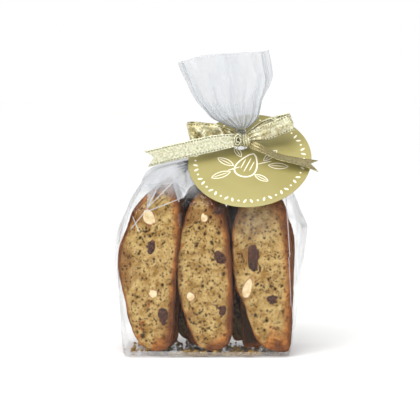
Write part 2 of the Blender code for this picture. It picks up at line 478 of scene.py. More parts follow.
@dataclass(frozen=True)
class CutAlmond:
    """Roasted almond cut with the slice: a smooth cream flesh with a thin brown skin round it."""

    flesh: str = "DDCBA4"
    warm: str = "C7AC7C"
    skin: str = "8A5A33"

    def build(self) -> bpy.types.Material:
        """Make the material."""
        material, tree, shader = new_material("cut_almond")
        coords = add_node(tree, "TexCoord").outputs["Object"]
        cloud = add_node(tree, "TexNoise", {"Scale": 1.0 / (3.0 * MM), "Detail": 3.0}, {"Vector": coords})
        skin = add_node(tree, "Attribute", {"attribute_name": "skin"}).outputs["Fac"]
        flesh = ramp_node(tree, cloud.outputs["Fac"], [
            (0.35, linear(self.warm)), (0.6, linear(self.flesh))])
        tree.links.new(mix_colours(tree, skin, flesh, linear(self.skin)), shader.inputs["Base Color"])
        shader.inputs["Roughness"].default_value = 0.5
        bump(tree, shader, cloud.outputs["Fac"], 0.2 * MM, 0.5)
        return material


@dataclass(frozen=True)
class ClearFilm:
    """Clear polypropylene film: a mirror-smooth skin that shows as glints along its creases.

    Where folds lie over each other the attribute haze makes it milkier, as stacked film is.
    """

    tint: str = "FDFDFD"
    milk: str = "F6F7FA"
    stacked: str = "D0D3D5"
    clear_haze: float = 0.0
    folded_haze: float = 0.42
    gloss_roughness: float = 0.07
    face_gloss: float = 0.006
    edge_gloss: float = 0.80

    def build(self) -> bpy.types.Material:
        """Make the material."""
        material, tree, shader = new_material("clear_film")
        shader.inputs["Base Color"].default_value = linear(self.milk)
        shader.inputs["Roughness"].default_value = 0.35
        haze = add_node(tree, "Attribute", {"attribute_name": "haze"}).outputs["Fac"]
        through = mix_colours(tree, haze, linear(self.tint), linear(self.stacked))
        clear = add_node(tree, "BsdfTransparent", links={"Color": through})
        mirror = add_node(tree, "BsdfGlossy", {"Color": linear("FFFFFF"), "Roughness": self.gloss_roughness})
        facing = add_node(tree, "LayerWeight", {"Blend": 0.5}).outputs["Facing"]
        edge = do_math(tree, "MULTIPLY_ADD", do_math(tree, "POWER", facing, 5.0),
                       self.edge_gloss, self.face_gloss)
        share = do_math(tree, "MULTIPLY_ADD", haze, self.folded_haze - self.clear_haze, self.clear_haze)
        cloudy = add_node(tree, "MixShader", links={0: share, 1: clear.outputs[0], 2: shader.outputs[0]})
        whole = add_node(tree, "MixShader", links={
            0: edge, 1: cloudy.outputs[0], 2: mirror.outputs[0]})
        tree.links.new(whole.outputs[0], tree.nodes["Material Output"].inputs["Surface"])
        return material


@dataclass(frozen=True)
class MetallicRibbon:
    """Woven ribbon with a flat metallic weft: pale gold-green with a fine sparkle.

    Plain weave of about 0.5 mm, drawn at 0.7 mm so that it shows, with a darker stitched line
    inside each edge. It reads the strap's own UV map, in millimetres. Its deep attribute paints shade:
    it darkens the colours toward a deeper gold on the far tail, on crumpled facets of the loops and in
    the inward folds of the pleats.
    """

    light: str = "E4E4CC"
    dark: str = "8F8A58"
    # Darker copies of the ribbon's colours, for painted shade.
    shaded_pale: str = "B5A878"
    shaded_dark: str = "4E431F"
    stitch: str = "4A4726"
    thread_mm: float = 1.1
    stitch_inset: float = 0.30

    def build(self) -> bpy.types.Material:
        """Make the material."""
        material, tree, shader = new_material("metallic_ribbon")
        place = add_node(tree, "UVMap", {"uv_map": "strap"}).outputs["UV"]
        parts = add_node(tree, "SeparateXYZ", links={0: place})
        turns = 2.0 * math.pi / self.thread_mm
        warp = do_math(tree, "SINE", do_math(tree, "MULTIPLY", parts.outputs["X"], turns))
        weft = do_math(tree, "SINE", do_math(tree, "MULTIPLY", parts.outputs["Y"], turns))
        weave = do_math(tree, "MULTIPLY_ADD", do_math(tree, "MULTIPLY", warp, weft), 0.5, 0.5)
        glint = add_node(tree, "TexNoise", {"Scale": 0.75, "Detail": 3.0, "Roughness": 0.75},
                         {"Vector": place})
        flakes = add_node(tree, "TexVoronoi", {"Scale": 1.2, "Randomness": 1.0}, {"Vector": place})
        glitter = do_math(tree, "MULTIPLY_ADD", glint.outputs["Fac"], 3.4, -1.05, clamp=True)
        tone = do_math(tree, "ADD", do_math(tree, "MULTIPLY", weave, 0.22),
                       do_math(tree, "MULTIPLY", glitter, 0.85), clamp=True)
        base = mix_colours(tree, tone, linear(self.dark), linear(self.light))
        # Painted shade: the deep attribute blends toward the darker copies of the colours.
        strap_shade = add_node(tree, "Attribute", {"attribute_name": "deep"}).outputs["Fac"]
        base = mix_colours(tree, strap_shade, base, mix_colours(tree, tone, linear(self.shaded_dark),
                                                                  linear(self.shaded_pale)))
        spark = mix_colours(tree, 0.08, base, flakes.outputs["Color"], "SOFT_LIGHT")
        across = do_math(tree, "ABSOLUTE", parts.outputs["X"])
        from_line = do_math(tree, "ABSOLUTE", do_math(tree, "SUBTRACT", across, 5.0 - 0.95))
        on_line = do_math(tree, "LESS_THAN", from_line, self.stitch_inset)
        dash = do_math(tree, "GREATER_THAN",
                       do_math(tree, "SINE", do_math(tree, "MULTIPLY", parts.outputs["Y"], 3.6)), -0.3)
        sewn = do_math(tree, "MULTIPLY", do_math(tree, "MULTIPLY", on_line, dash), 0.8)
        tree.links.new(mix_colours(tree, sewn, spark, linear(self.stitch)), shader.inputs["Base Color"])
        shader.inputs["Metallic"].default_value = 0.6
        shader.inputs["Roughness"].default_value = 0.33
        bump(tree, shader, weave, 0.12 * MM, 0.7)
        return material


@dataclass(frozen=True)
class PrintedCard:
    """Coated card printed in one olive-gold ink: satin, slightly darker in broad soft clouds."""

    ink: str = "A0975E"
    deep: str = "93894E"

    def build(self) -> bpy.types.Material:
        """Make the material."""
        material, tree, shader = new_material("printed_card")
        coords = add_node(tree, "TexCoord").outputs["Object"]
        cloud = add_node(tree, "TexNoise", {"Scale": 1.0 / (28.0 * MM), "Detail": 2.0}, {"Vector": coords})
        fibre = add_node(tree, "TexNoise", {"Scale": 1.0 / (0.5 * MM), "Detail": 2.0}, {"Vector": coords})
        tone = ramp_node(tree, cloud.outputs["Fac"], [(0.3, linear(self.deep)), (0.7, linear(self.ink))])
        tree.links.new(tone, shader.inputs["Base Color"])
        shader.inputs["Roughness"].default_value = 0.42
        bump(tree, shader, fibre.outputs["Fac"], 0.03 * MM, 0.4)
        return material


@dataclass(frozen=True)
class CreamPrint:
    """Cream ink lying on the card: matt, and a hair proud of the card's coating."""

    ink: str = "F1EBD8"

    def build(self) -> bpy.types.Material:
        """Make the material."""
        material, tree, shader = new_material("cream_print")
        coords = add_node(tree, "TexCoord").outputs["Object"]
        mottle = add_node(tree, "TexNoise", {"Scale": 1.0 / (1.5 * MM), "Detail": 2.0}, {"Vector": coords})
        tone = ramp_node(tree, mottle.outputs["Fac"], [(0.2, linear("E8E0C8")), (0.6, linear(self.ink))])
        tree.links.new(tone, shader.inputs["Base Color"])
        shader.inputs["Roughness"].default_value = 0.6
        return material


@dataclass
class Finishes:
    """Every finish, built once."""

    crumb: bpy.types.Material = field(default_factory=lambda: BakedCrumb().build())
    raisin: bpy.types.Material = field(default_factory=lambda: DriedRaisin().build())
    almond: bpy.types.Material = field(default_factory=lambda: CutAlmond().build())
    film: bpy.types.Material = field(default_factory=lambda: ClearFilm().build())
    ribbon: bpy.types.Material = field(default_factory=lambda: MetallicRibbon().build())
    card: bpy.types.Material = field(default_factory=lambda: PrintedCard().build())
    print_ink: bpy.types.Material = field(default_factory=lambda: CreamPrint().build())


# ---------------------------------------------------------------- biscotti


class Column(Enum):
    """Where a slice stands across the bag, with the outline of its cut face in millimetres."""

    LEFT = (
        (-25.0, 105.5), (-34.0, 99.0), (-43.5, 88.0), (-48.5, 75.0), (-52.6, 64.0), (-53.6, 53.0),
        (-52.2, 41.5), (-49.5, 30.0), (-46.8, 17.0), (-42.5, 8.0), (-35.0, 3.2), (-27.0, 3.6),
        (-23.0, 8.5), (-22.0, 20.0), (-21.4, 35.0), (-20.6, 48.0), (-18.4, 66.0), (-18.3, 81.0),
        (-19.2, 93.0), (-22.0, 102.0),
    )
    MIDDLE = (
        (-7.0, 96.2), (-12.0, 89.0), (-15.4, 80.0), (-18.0, 69.0), (-19.5, 57.0), (-19.5, 43.0),
        (-16.5, 29.5), (-12.4, 17.0), (-8.5, 8.0), (-3.4, 3.8), (4.2, 3.2), (10.8, 7.6),
        (12.9, 18.5), (12.8, 34.5), (12.5, 48.0), (11.2, 63.0), (9.6, 76.0), (6.8, 85.0), (0.0, 93.5),
    )
    RIGHT = (
        (33.0, 98.0), (24.0, 96.5), (17.5, 89.0), (13.8, 77.0), (13.2, 64.0), (13.9, 51.0),
        (16.0, 39.0), (20.0, 30.5), (23.4, 20.0), (27.4, 11.0), (33.2, 4.6), (40.5, 2.8),
        (46.6, 3.6), (47.9, 14.5), (48.7, 34.5), (48.7, 51.0), (47.4, 67.5), (45.2, 83.5), (41.0, 93.5),
    )


@dataclass
class Inclusion:
    """A raisin or a piece of almond showing in a cut face: place and half size in millimetres."""

    across: float
    up: float
    half_width: float
    half_height: float
    turn: float = 0.0


@dataclass
class Slice:
    """One biscotto: a slice of a baked loaf, standing on its end."""

    name: str
    column: Column
    depth_mm: float
    thickness_mm: float = 12.4
    shift: tuple[float, float] = (0.0, 0.0)
    scale: float = 1.0
    flipped: bool = False
    lean: float = 2.5
    yaw: float = 0.0
    fine: bool = True
    seed: int = 1
    raisins: tuple[Inclusion, ...] = ()
    almonds: tuple[Inclusion, ...] = ()
    pores: int = 1250
    # Painted shade over the whole slice, for slices that stand in the front row's shade.
    painted_shade: float = 0.0
    band: float = 0.085

    def outline(self) -> Points:
        """Return the cut face's outline in millimetres, as 400 rows."""
        points = np.array(self.column.value)
        middle = (points.max(0) + points.min(0)) / 2.0
        local = (points - middle) * self.scale
        if self.flipped:
            local = local[::-1] * np.array([-1.0, 1.0])
        low = local[:, 1].min()
        local[:, 1] += points[:, 1].min() - low - middle[1]
        return closed_curve(local + middle + np.array(self.shift), 400)

    def block(self) -> bpy.types.Mesh:
        """Make a closed block of small faces, from -1 to 1 across and up and from 0 to 1 deep."""
        across, up, deep = (84, 244, 18) if self.fine else (48, 140, 9)
        bm = bmesh.new()
        bmesh.ops.create_grid(bm, x_segments=across, y_segments=up, size=1.0)
        made = bmesh.ops.extrude_face_region(bm, geom=bm.faces[:], use_keep_orig=True)
        back = [item for item in made["geom"] if isinstance(item, bmesh.types.BMVert)]
        bmesh.ops.translate(bm, verts=back, vec=(0.0, 0.0, 1.0))
        sides = [edge for edge in bm.edges if abs(edge.verts[0].co.z - edge.verts[1].co.z) > 0.5]
        bmesh.ops.subdivide_edges(bm, edges=sides, cuts=deep, use_grid_fill=True)
        bmesh.ops.recalc_face_normals(bm, faces=bm.faces)
        mesh = bpy.data.meshes.new(self.name)
        bm.to_mesh(mesh)
        bm.free()
        return mesh

    def spread(self, block: Points) -> tuple[Points, Points, Points]:
        """Fit the block's square face to the outline.

        Args:
            block: the block's vertex places.

        Returns:
            Places on the face in millimetres, outward directions, and the distance from the
            middle as a share of the outline's.
        """
        outline = self.outline()
        low, high = outline.min(0), outline.max(0)
        middle, half = (low + high) / 2.0, (high - low) / 2.0
        even = (outline - middle) / half
        angles = np.unwrap(np.arctan2(even[:, 1], even[:, 0]))
        reach = np.hypot(even[:, 0], even[:, 1])
        order = np.argsort(np.mod(angles, 2.0 * math.pi))
        angles, reach = np.mod(angles, 2.0 * math.pi)[order], reach[order]
        s, t = block[:, 0], block[:, 1]
        x, y = s * np.sqrt(1.0 - t * t / 2.0), t * np.sqrt(1.0 - s * s / 2.0)
        turn = np.mod(np.arctan2(y, x), 2.0 * math.pi)
        share = np.hypot(x, y)
        far = np.interp(turn, angles, reach, period=2.0 * math.pi)
        face = middle + np.stack([np.cos(turn), np.sin(turn)], 1) * (share * far)[:, None] * half
        outward = unit(np.stack([np.cos(turn) / half[0], np.sin(turn) / half[1]], 1))
        return face, outward, share

    def pore_depths(self, face: Points, side: int) -> tuple[Points, Points]:
        """Scatter bubbles over one cut face.

        Args:
            face: places on the face in millimetres.
            side: 0 for the front face and 1 for the back one.

        Returns:
            Each vertex's depth in millimetres, and how much it is inside a bubble.
        """
        source = fresh_random(self.seed * 17 + side)
        low, high = face.min(0), face.max(0)
        count = self.pores if self.fine else self.pores // 3
        centres = source.uniform(low, high, (count, 2))
        radii = np.clip(source.lognormal(-0.86, 0.44, count), 0.24, 1.6)
        near_end = np.abs(centres[:, 1] - (low[1] + high[1]) / 2.0) > (high[1] - low[1]) * 0.40
        radii[near_end & (source.random(count) < 0.25)] *= 1.5
        warp = np.stack([soft_noise(face, 1.1, self.seed + 5), soft_noise(face, 1.1, self.seed + 6)], 1)
        bent = face + warp * 0.32
        depth = np.zeros(len(face))
        inside = np.zeros(len(face))
        order = np.argsort(bent[:, 1])
        heights = bent[order, 1]
        for centre, radius, slant, flat in zip(
                centres, radii, source.uniform(-0.6, 0.6, count), source.uniform(0.65, 1.0, count)):
            start, end = np.searchsorted(heights, (centre[1] - radius * 1.5, centre[1] + radius * 1.5))
            rows = order[start:end]
            offset = bent[rows] - centre
            across = offset[:, 0] * math.cos(slant) + offset[:, 1] * math.sin(slant)
            along = -offset[:, 0] * math.sin(slant) + offset[:, 1] * math.cos(slant)
            gone = np.hypot(across / flat, along) / radius
            hit = gone < 1.15
            rows, gone = rows[hit], gone[hit]
            well = np.clip(1.15 - gone, 0.0, 1.0) ** 0.6
            depth[rows] = np.maximum(depth[rows], well * min(radius * 1.25, 1.5))
            inside[rows] = np.maximum(inside[rows], np.clip(1.7 * (1.05 - gone), 0.0, 1.0))
        return depth, inside

    def build(self, material: bpy.types.Material) -> bpy.types.Object:
        """Make the slice as one closed piece."""
        mesh = self.block()
        block = read_points(mesh)
        face, outward, share = self.spread(block)
        deep = block[:, 2]
        front, back = deep < 1e-6, deep > 1.0 - 1e-6
        wall = share > 1.0 - 1e-6
        solid = np.column_stack([face, deep * self.thickness_mm])
        rim = rise(share, 0.90, 0.97)
        lump = layered_noise(solid, 9.0, self.seed + 40, 3)
        fine = layered_noise(solid, 1.5, self.seed + 50, 3)
        push = np.zeros(len(face))
        inside = np.zeros(len(face))
        for side, chosen in enumerate((front & ~wall, back & ~wall)):
            depth, holes = self.pore_depths(face[chosen], side)
            calm = self.calm_near_inclusions(face[chosen]) if side == 0 else 1.0
            fade = (1.0 - 0.75 * rim[chosen]) * calm
            push[chosen] = depth * fade
            inside[chosen] = holes * fade
        skin_roughness = 0.35 * lump + 0.16 * fine
        rounding = np.where(wall, 0.0, rise(share, 0.955, 1.0)) * 0.55
        edge = np.where(wall & (front | back), 0.45, 0.0)
        swell = np.sin(np.clip(deep, 0.0, 1.0) * math.pi) * 0.35
        flat = face + outward * ((skin_roughness + swell) * rise(share, 0.80, 1.0))[:, None]
        flat -= outward * edge[:, None]
        crumbly = 0.30 * fine + 0.28 * lump
        depth_now = np.where(front, crumbly + push + rounding, 0.0)
        depth_now = np.where(back, -(crumbly + push + rounding), depth_now)
        across = deep * self.thickness_mm + depth_now
        across += np.where(wall & front, 0.5, 0.0) - np.where(wall & back, 0.5, 0.0)
        write_points(mesh, self.stand(flat, across))
        reach = 0.040 + 0.035 * lump + 0.015 * fine + self.band * rise(outward[:, 0], 0.1, 0.7)
        on_wall = np.where(wall, 1.0, rise(share, 1.0 - 1.6 * reach, 1.0 - 0.35 * reach))
        write_value(mesh, "crust", np.clip(on_wall, 0.0, 1.0))
        # The pores get painted shade, and a slice that stands in shade is darkened all over.
        write_value(mesh, "pore_shade", np.clip(inside * 0.92 + 1.1 * self.painted_shade, 0.0, 1.0))
        toast_and_shade = rise(layered_noise(solid, 12.0, self.seed + 70, 2) + rise(share, 0.55, 1.0) * 0.7, 0.25, 1.3)
        # Painted shade: the slices' right edges, which turn away from the light, are darkened.
        toast_and_shade += 0.9 * rise(outward[:, 0], 0.35, 0.8) * rise(share, 0.86, 0.99)
        # A slice that stands in shade is darkened all over with painted shade.
        write_value(mesh, "toast_and_shade", np.clip(toast_and_shade + self.painted_shade, 0.0, 1.0))
        mesh.shade_smooth()
        mesh.materials.append(material)
        piece = bpy.data.objects.new(self.name, mesh)
        bpy.context.scene.collection.objects.link(piece)
        return piece

    def calm_near_inclusions(self, face: Points) -> Points:
        """Return 0 under raisins and almonds, where there are no bubbles, and 1 elsewhere."""
        calm = np.ones(len(face))
        for item in self.raisins + self.almonds:
            gone = np.hypot((face[:, 0] - item.across) / item.half_width,
                            (face[:, 1] - item.up) / item.half_height)
            calm *= rise(gone, 0.8, 1.1)
        return calm

    def stand(self, face: Points, depth: Points) -> Points:
        """Put places on the slice where the slice stands in the bag.

        Args:
            face: places across and up, in millimetres.
            depth: distances behind the front face, in millimetres.

        Returns:
            Rows of places in metres.
        """
        middle = np.array(self.column.value)[:, 0].mean() + self.shift[0]
        rows = np.column_stack([face[:, 0] - middle, depth + face[:, 1] * 0.0, face[:, 1]])
        turn = np.array(Matrix.Rotation(math.radians(self.yaw), 3, "Z")
                        @ Matrix.Rotation(math.radians(-self.lean), 3, "X"))
        rows = rows @ turn.T
        rows[:, 0] += middle
        rows[:, 1] += self.depth_mm
        rows[:, 2] += 0.6
        return rows * MM


@dataclass
class Fillings:
    """All raisins, or all almond pieces, that show in the slices' cut faces."""

    name: str
    wrinkled: bool
    slices: list[Slice]

    def build(self, material: bpy.types.Material) -> bpy.types.Object:
        """Make the pieces as one mesh."""
        bm = bmesh.new()
        skins = []
        number = 0
        for host in self.slices:
            for item in host.raisins if self.wrinkled else host.almonds:
                number += 1
                ball = bmesh.ops.create_icosphere(bm, subdivisions=4, radius=1.0)["verts"]
                unit_places = np.array([vert.co[:] for vert in ball])
                places, skin = self.shape(unit_places, item, number)
                turn = math.radians(item.turn)
                flat = np.stack([
                    item.across + places[:, 0] * math.cos(turn) - places[:, 2] * math.sin(turn),
                    item.up + places[:, 0] * math.sin(turn) + places[:, 2] * math.cos(turn)], 1)
                for vert, place in zip(ball, host.stand(flat, places[:, 1])):
                    vert.co = place
                skins.append(skin)
        bmesh.ops.recalc_face_normals(bm, faces=bm.faces)
        piece = object_from(bm, self.name, material)
        write_value(piece.data, "skin", np.concatenate(skins))
        return piece

    def shape(self, places: Points, item: Inclusion, number: int) -> tuple[Points, Points]:
        """Shape one piece from a ball.

        Args:
            places: the ball's vertex places, one unit in radius.
            item: the piece's place and half size.
            number: which piece it is, so that no two are alike.

        Returns:
            Places in millimetres round the piece's middle, and how much of each is brown skin.
        """
        seed = 300 + number * 13
        if self.wrinkled:
            ridges = np.abs(soft_noise(places, 0.42, seed)) + 0.5 * np.abs(soft_noise(places, 0.2, seed + 1))
            places = places * (0.90 + 0.14 * ridges + 0.13 * soft_noise(places, 1.1, seed + 2))[:, None]
            depth = 2.6
            rows = places * np.array([item.half_width * 1.3, depth, item.half_height * 1.08])
            rows[:, 0] += 0.55 * soft_noise(places, 1.0, seed + 5)
            rows[:, 1] = np.maximum(rows[:, 1] + 1.9, -0.55 + 0.35 * soft_noise(places, 0.3, seed + 3))
            return rows, np.zeros(len(rows))
        places = places * (1.0 + 0.17 * soft_noise(places, 0.9, seed))[:, None]
        taper = 1.0 - 0.28 * places[:, 2]
        rows = places * np.array([item.half_width, 2.4, item.half_height])
        rows[:, 0] *= taper
        face = -0.30 + 0.14 * soft_noise(places, 0.35, seed + 4)
        cut = rows[:, 1] + 1.2 < face
        rows[:, 1] = np.maximum(rows[:, 1] + 1.2, face)
        edge = np.hypot(places[:, 0], places[:, 2])
        skin = np.where(cut, rise(edge, 0.80, 0.90), 1.0)
        return rows, skin


@dataclass
class Crumbs:
    """Loose crumbs on the bag's floor, between the slices' feet."""

    count: int = 520
    seed: int = 77

    def build(self, material: bpy.types.Material) -> bpy.types.Object:
        """Scatter small broken bits as one mesh."""
        source = fresh_random(self.seed)
        bm = bmesh.new()
        for _ in range(self.count):
            size = float(np.clip(source.lognormal(0.25, 0.45), 0.5, 3.2)) * MM
            front = source.random() < 0.35
            x = source.uniform(-24.0, 30.0) if front else source.uniform(-47.0, 44.0)
            y = source.uniform(-28.2, -22.0) if front else source.uniform(-27.5, 27.0)
            ball = bmesh.ops.create_icosphere(bm, subdivisions=1, radius=size / 2.0)["verts"]
            for vert in ball:
                vert.co = vert.co * float(source.uniform(0.65, 1.25))
            bmesh.ops.translate(bm, verts=ball, vec=(x * MM, y * MM, 0.45 * MM + size * 0.62))
        piece = object_from(bm, "crumbs", material, smooth=False)
        number = len(piece.data.vertices)
        write_value(piece.data, "crust", np.zeros(number))
        write_value(piece.data, "pore_shade", np.zeros(number))
        write_value(piece.data, "toast_and_shade", source.uniform(0.0, 0.5, number))
        return piece


def batch() -> list[Slice]:
    """List the twelve slices: three columns, four rows, the front row first."""
    front = [
        Slice("biscotto_1", Column.LEFT, -26.8, seed=1, yaw=-6.0, lean=2.0, band=0.12, raisins=(
            Inclusion(-34.9, 64.2, 3.4, 5.6, -12.0), Inclusion(-27.9, 24.0, 3.6, 7.4, 6.0)),
            almonds=(Inclusion(-36.0, 82.5, 4.4, 6.8, 18.0), Inclusion(-33.5, 37.0, 3.0, 3.6, 60.0))),
        Slice("biscotto_2", Column.MIDDLE, -26.6, seed=2, yaw=-6.0, lean=2.3, band=0.12, raisins=(
            Inclusion(6.2, 58.6, 3.5, 5.8, 25.0), Inclusion(7.4, 27.5, 3.2, 5.4, -8.0),
            Inclusion(4.6, 86.2, 2.8, 3.2, 30.0)),
            almonds=(Inclusion(-3.6, 82.3, 2.7, 3.2, 0.0), Inclusion(-11.8, 35.2, 3.0, 3.6, 15.0))),
        Slice("biscotto_3", Column.RIGHT, -26.6, seed=3, yaw=-6.5, lean=2.6, band=0.19, raisins=(
            Inclusion(25.6, 57.2, 4.2, 10.6, 4.0), Inclusion(36.6, 33.8, 3.2, 4.0, -20.0)),
            almonds=(Inclusion(22.6, 40.6, 3.4, 7.6, -14.0),)),
    ]
    rows = list(front)
    columns = (Column.LEFT, Column.MIDDLE, Column.RIGHT)
    for row in range(1, 4):
        for number, column in enumerate(columns):
            wobble = fresh_random(row * 10 + number)
            # The back rows stand in the front row's shade, which is painted on them.
            rows.append(Slice(
                f"biscotto_{len(rows) + 1}", column, -25.9 + 13.9 * row,
                thickness_mm=13.0,
                shift=(((4.0, -2.5, -0.5), (5.0, -3.0, -2.5), (4.0, -4.0, -1.5))[number][row - 1], 0.0),
                scale=((0.965, 0.965, 0.92), (0.965, 1.03, 0.92), (0.90, 1.03, 0.915))[number][row - 1],
                flipped=number > 0 and row != 2,
                lean=(1.6, 1.2, 0.0)[row - 1], yaw=float(wobble.uniform(-0.6, 0.6)),
                fine=row == 3, seed=len(rows) + 1, painted_shade=0.0 if row == 3 else 0.85))
    return rows


# ---------------------------------------------------------------- film


@dataclass
class FilmBag:
    """The clear bag: a gusseted film tube, closed below, gathered at the tie and open in a fan above.

    A station is height, left, right, front, back, how far the left and right gussets bulge, and
    how square the corners are, in millimetres.
    """

    columns: int = 250
    rows: int = 176
    wall_mm: float = 0.06
    base_share: float = 0.045
    mouth_mm: float = 181.0
    stations: tuple[tuple[float, ...], ...] = (
        (0.3, -49.0, 46.2, -28.4, 28.6, 0.0, 0.0, 1.0),
        (2.5, -51.0, 48.2, -29.4, 29.6, 0.4, 0.5, 1.0),
        (16.0, -52.2, 49.6, -29.8, 30.0, 2.4, 3.0, 1.0),
        (32.0, -53.4, 50.4, -30.0, 30.0, 3.2, 4.2, 1.0),
        (54.0, -54.8, 51.0, -30.0, 30.0, 3.4, 6.2, 1.0),
        (66.0, -53.6, 51.4, -30.0, 30.0, 4.0, 7.6, 1.0),
        (76.0, -50.6, 51.2, -29.2, 30.0, 4.2, 8.0, 0.98),
        (90.0, -46.0, 48.8, -26.9, 29.4, 3.0, 5.0, 0.94),
        (98.0, -42.0, 46.6, -21.6, 28.4, 2.0, 4.0, 0.90),
        (105.0, -39.0, 43.6, -14.9, 27.0, 1.0, 2.6, 0.84),
        (111.0, -34.0, 38.0, -9.0, 20.0, 0.0, 0.5, 0.60),
        (117.0, -9.0, 30.0, -4.2, 11.0, 0.0, 0.0, 0.40),
        (121.5, 16.7, 21.3, -2.3, 2.3, 0.0, 0.0, 0.30),
        (134.5, 16.7, 21.3, -2.3, 2.3, 0.0, 0.0, 0.30),
        (137.2, 10.0, 25.4, -2.8, 3.0, 0.0, 0.0, 0.20),
        (141.5, 2.0, 29.0, -3.4, 4.0, 0.0, 0.0, 0.16),
        (152.0, -6.2, 31.2, -4.4, 5.0, 0.0, 0.0, 0.12),
        (160.0, -10.2, 35.0, -4.8, 5.5, 0.0, 0.0, 0.12),
        (166.0, -12.0, 36.0, -5.2, 6.0, 0.0, 0.0, 0.12),
        (181.0, -17.4, 33.4, -6.0, 7.0, 0.0, 0.0, 0.12),
    )
    # Where the fan's sheet folds: place round the tube and how far the crease stands out.
    fan_folds: tuple[tuple[float, float], ...] = (
        (0.0, 0.1), (0.035, -0.5), (0.06, 0.35), (0.205, 0.75), (0.225, -0.15), (0.30, 0.45),
        (0.345, -0.7), (0.375, 0.5), (0.41, -0.2), (0.45, 0.8), (0.50, -0.9), (0.56, 0.6), (0.60, 0.1),
        (0.68, 0.9), (0.73, -0.5), (0.80, 0.5), (0.86, -0.4), (0.92, 0.8), (0.965, -0.7), (1.0, 0.1),
    )

    def station_values(self, height: Points) -> list[Points]:
        """Read every station column at the given heights, in millimetres."""
        table = np.array(self.stations)
        return [np.interp(height, table[:, 0], table[:, k]) for k in range(1, 8)]

    def drape(self, x: Points, z: Points, flat: Points) -> Points:
        """Let the front panel lie on the slices behind it.

        Args:
            x: places across, in millimetres.
            z: heights.
            flat: the panel's depth there before it drapes.

        Returns:
            The panel's depth, in millimetres; less is further forward.
        """
        body = rise(z, 4.0, 14.0) * (1.0 - rise(z, 84.0, 98.0))
        gaps = 1.0 * np.exp(-((x + 19.5) / 2.6) ** 2) + 0.9 * np.exp(-((x - 13.4) / 2.6) ** 2)
        spread = np.maximum(np.abs(x + 27.5) - 6.5, 0.0)
        tip = (-26.7 + 0.95 * np.maximum(z - 103.0, 0.0) + 0.10 * spread ** 2
               + 0.02 * np.maximum(96.0 - z, 0.0))
        middle = np.maximum(np.abs(x + 6.0) - 6.0, 0.0)
        second = -24.9 + 0.95 * np.maximum(z - 95.0, 0.0) + 0.10 * middle ** 2
        third = -24.6 + 0.95 * np.maximum(z - 97.0, 0.0) + 0.03 * np.maximum(np.abs(x - 33.0) - 9.0, 0.0) ** 2
        eased = flat + gaps * body
        for tent in (tip, second, third):
            lower = np.minimum(eased, tent)
            blend = np.exp(-np.abs(eased - tent) / 1.2) * 0.5
            eased = np.where(z > 84.0, lower - blend * rise(z, 84.0, 94.0), eased)
        return self.under_card(x, eased, z)

    @staticmethod
    def under_card(x: Points, y: Points, z: Points) -> Points:
        """Keep the film behind the tipped card: return the depths, pushed back where they must be."""
        card = (z - 125.6 - 0.105 * (x - 19.0)) / 1.0176 + 1.3
        near = np.hypot((x - 23.0) / 39.5, (y + 9.7) / 28.5) < 1.0
        return np.where(near & (z < 121.0), np.maximum(y, card), y)

    def surface(self, u: Points, v: Points) -> Points:
        """Return the smooth bag's places.

        Args:
            u: share round the tube, from the front left corner and across the front first.
            v: share from the middle of the base to the mouth.

        Returns:
            Rows of places in millimetres.
        """
        u = np.mod(u, 1.0)
        climb = np.clip((v - self.base_share) / (1.0 - self.base_share), 0.0, 1.0)
        height = 0.3 + climb * (self.mouth_mm - 0.3)
        left, right, front, back, left_out, right_out, square = self.station_values(height)
        knots = np.array([0.0, 0.2, 0.40, 0.46, 0.52, 0.69, 0.86, 0.93, 1.0])
        middle = (left + right) / 2.0
        side_x = [left, middle, right, right + right_out, right, middle, left, left - left_out, left]
        side_y = [front * square, front, front * square, front * 0.0, back * square, back,
                  back * square, front * 0.0, front * square]
        index = np.clip(np.searchsorted(knots, u, side="right") - 1, 0, 7)
        part = (u - knots[index]) / (knots[index + 1] - knots[index])
        every = np.arange(len(u))
        xs, ys = np.array(side_x), np.array(side_y)
        x = xs[index, every] * (1.0 - part) + xs[index + 1, every] * part
        y = ys[index, every] * (1.0 - part) + ys[index + 1, every] * part
        lens = (1.0 - square) * np.sin(part * math.pi) * 0.16
        y += (np.where(index < 2, -lens * np.abs(front), 0.0)
              + np.where((index > 3) & (index < 6), lens * back, 0))
        y = np.where((index < 2) & (height < 118.0), self.drape(x, height, y), y)
        fan = rise(height, 134.5, 181.0)
        drop = (1.0 - np.clip((x + 19.0) / 15.0, 0.0, 1.0)) * 4.4
        drop += (1.0 - np.clip((x + 4.0) / 40.0, 0.0, 1.0)) * 2.4
        z = height - drop * fan
        inner = np.clip(v / self.base_share, 0.0, 1.0)
        x = np.where(inner < 1.0, (x + 1.5) * inner - 1.5, x)
        y = np.where(inner < 1.0, y * inner, y)
        return np.column_stack([x, y, z])

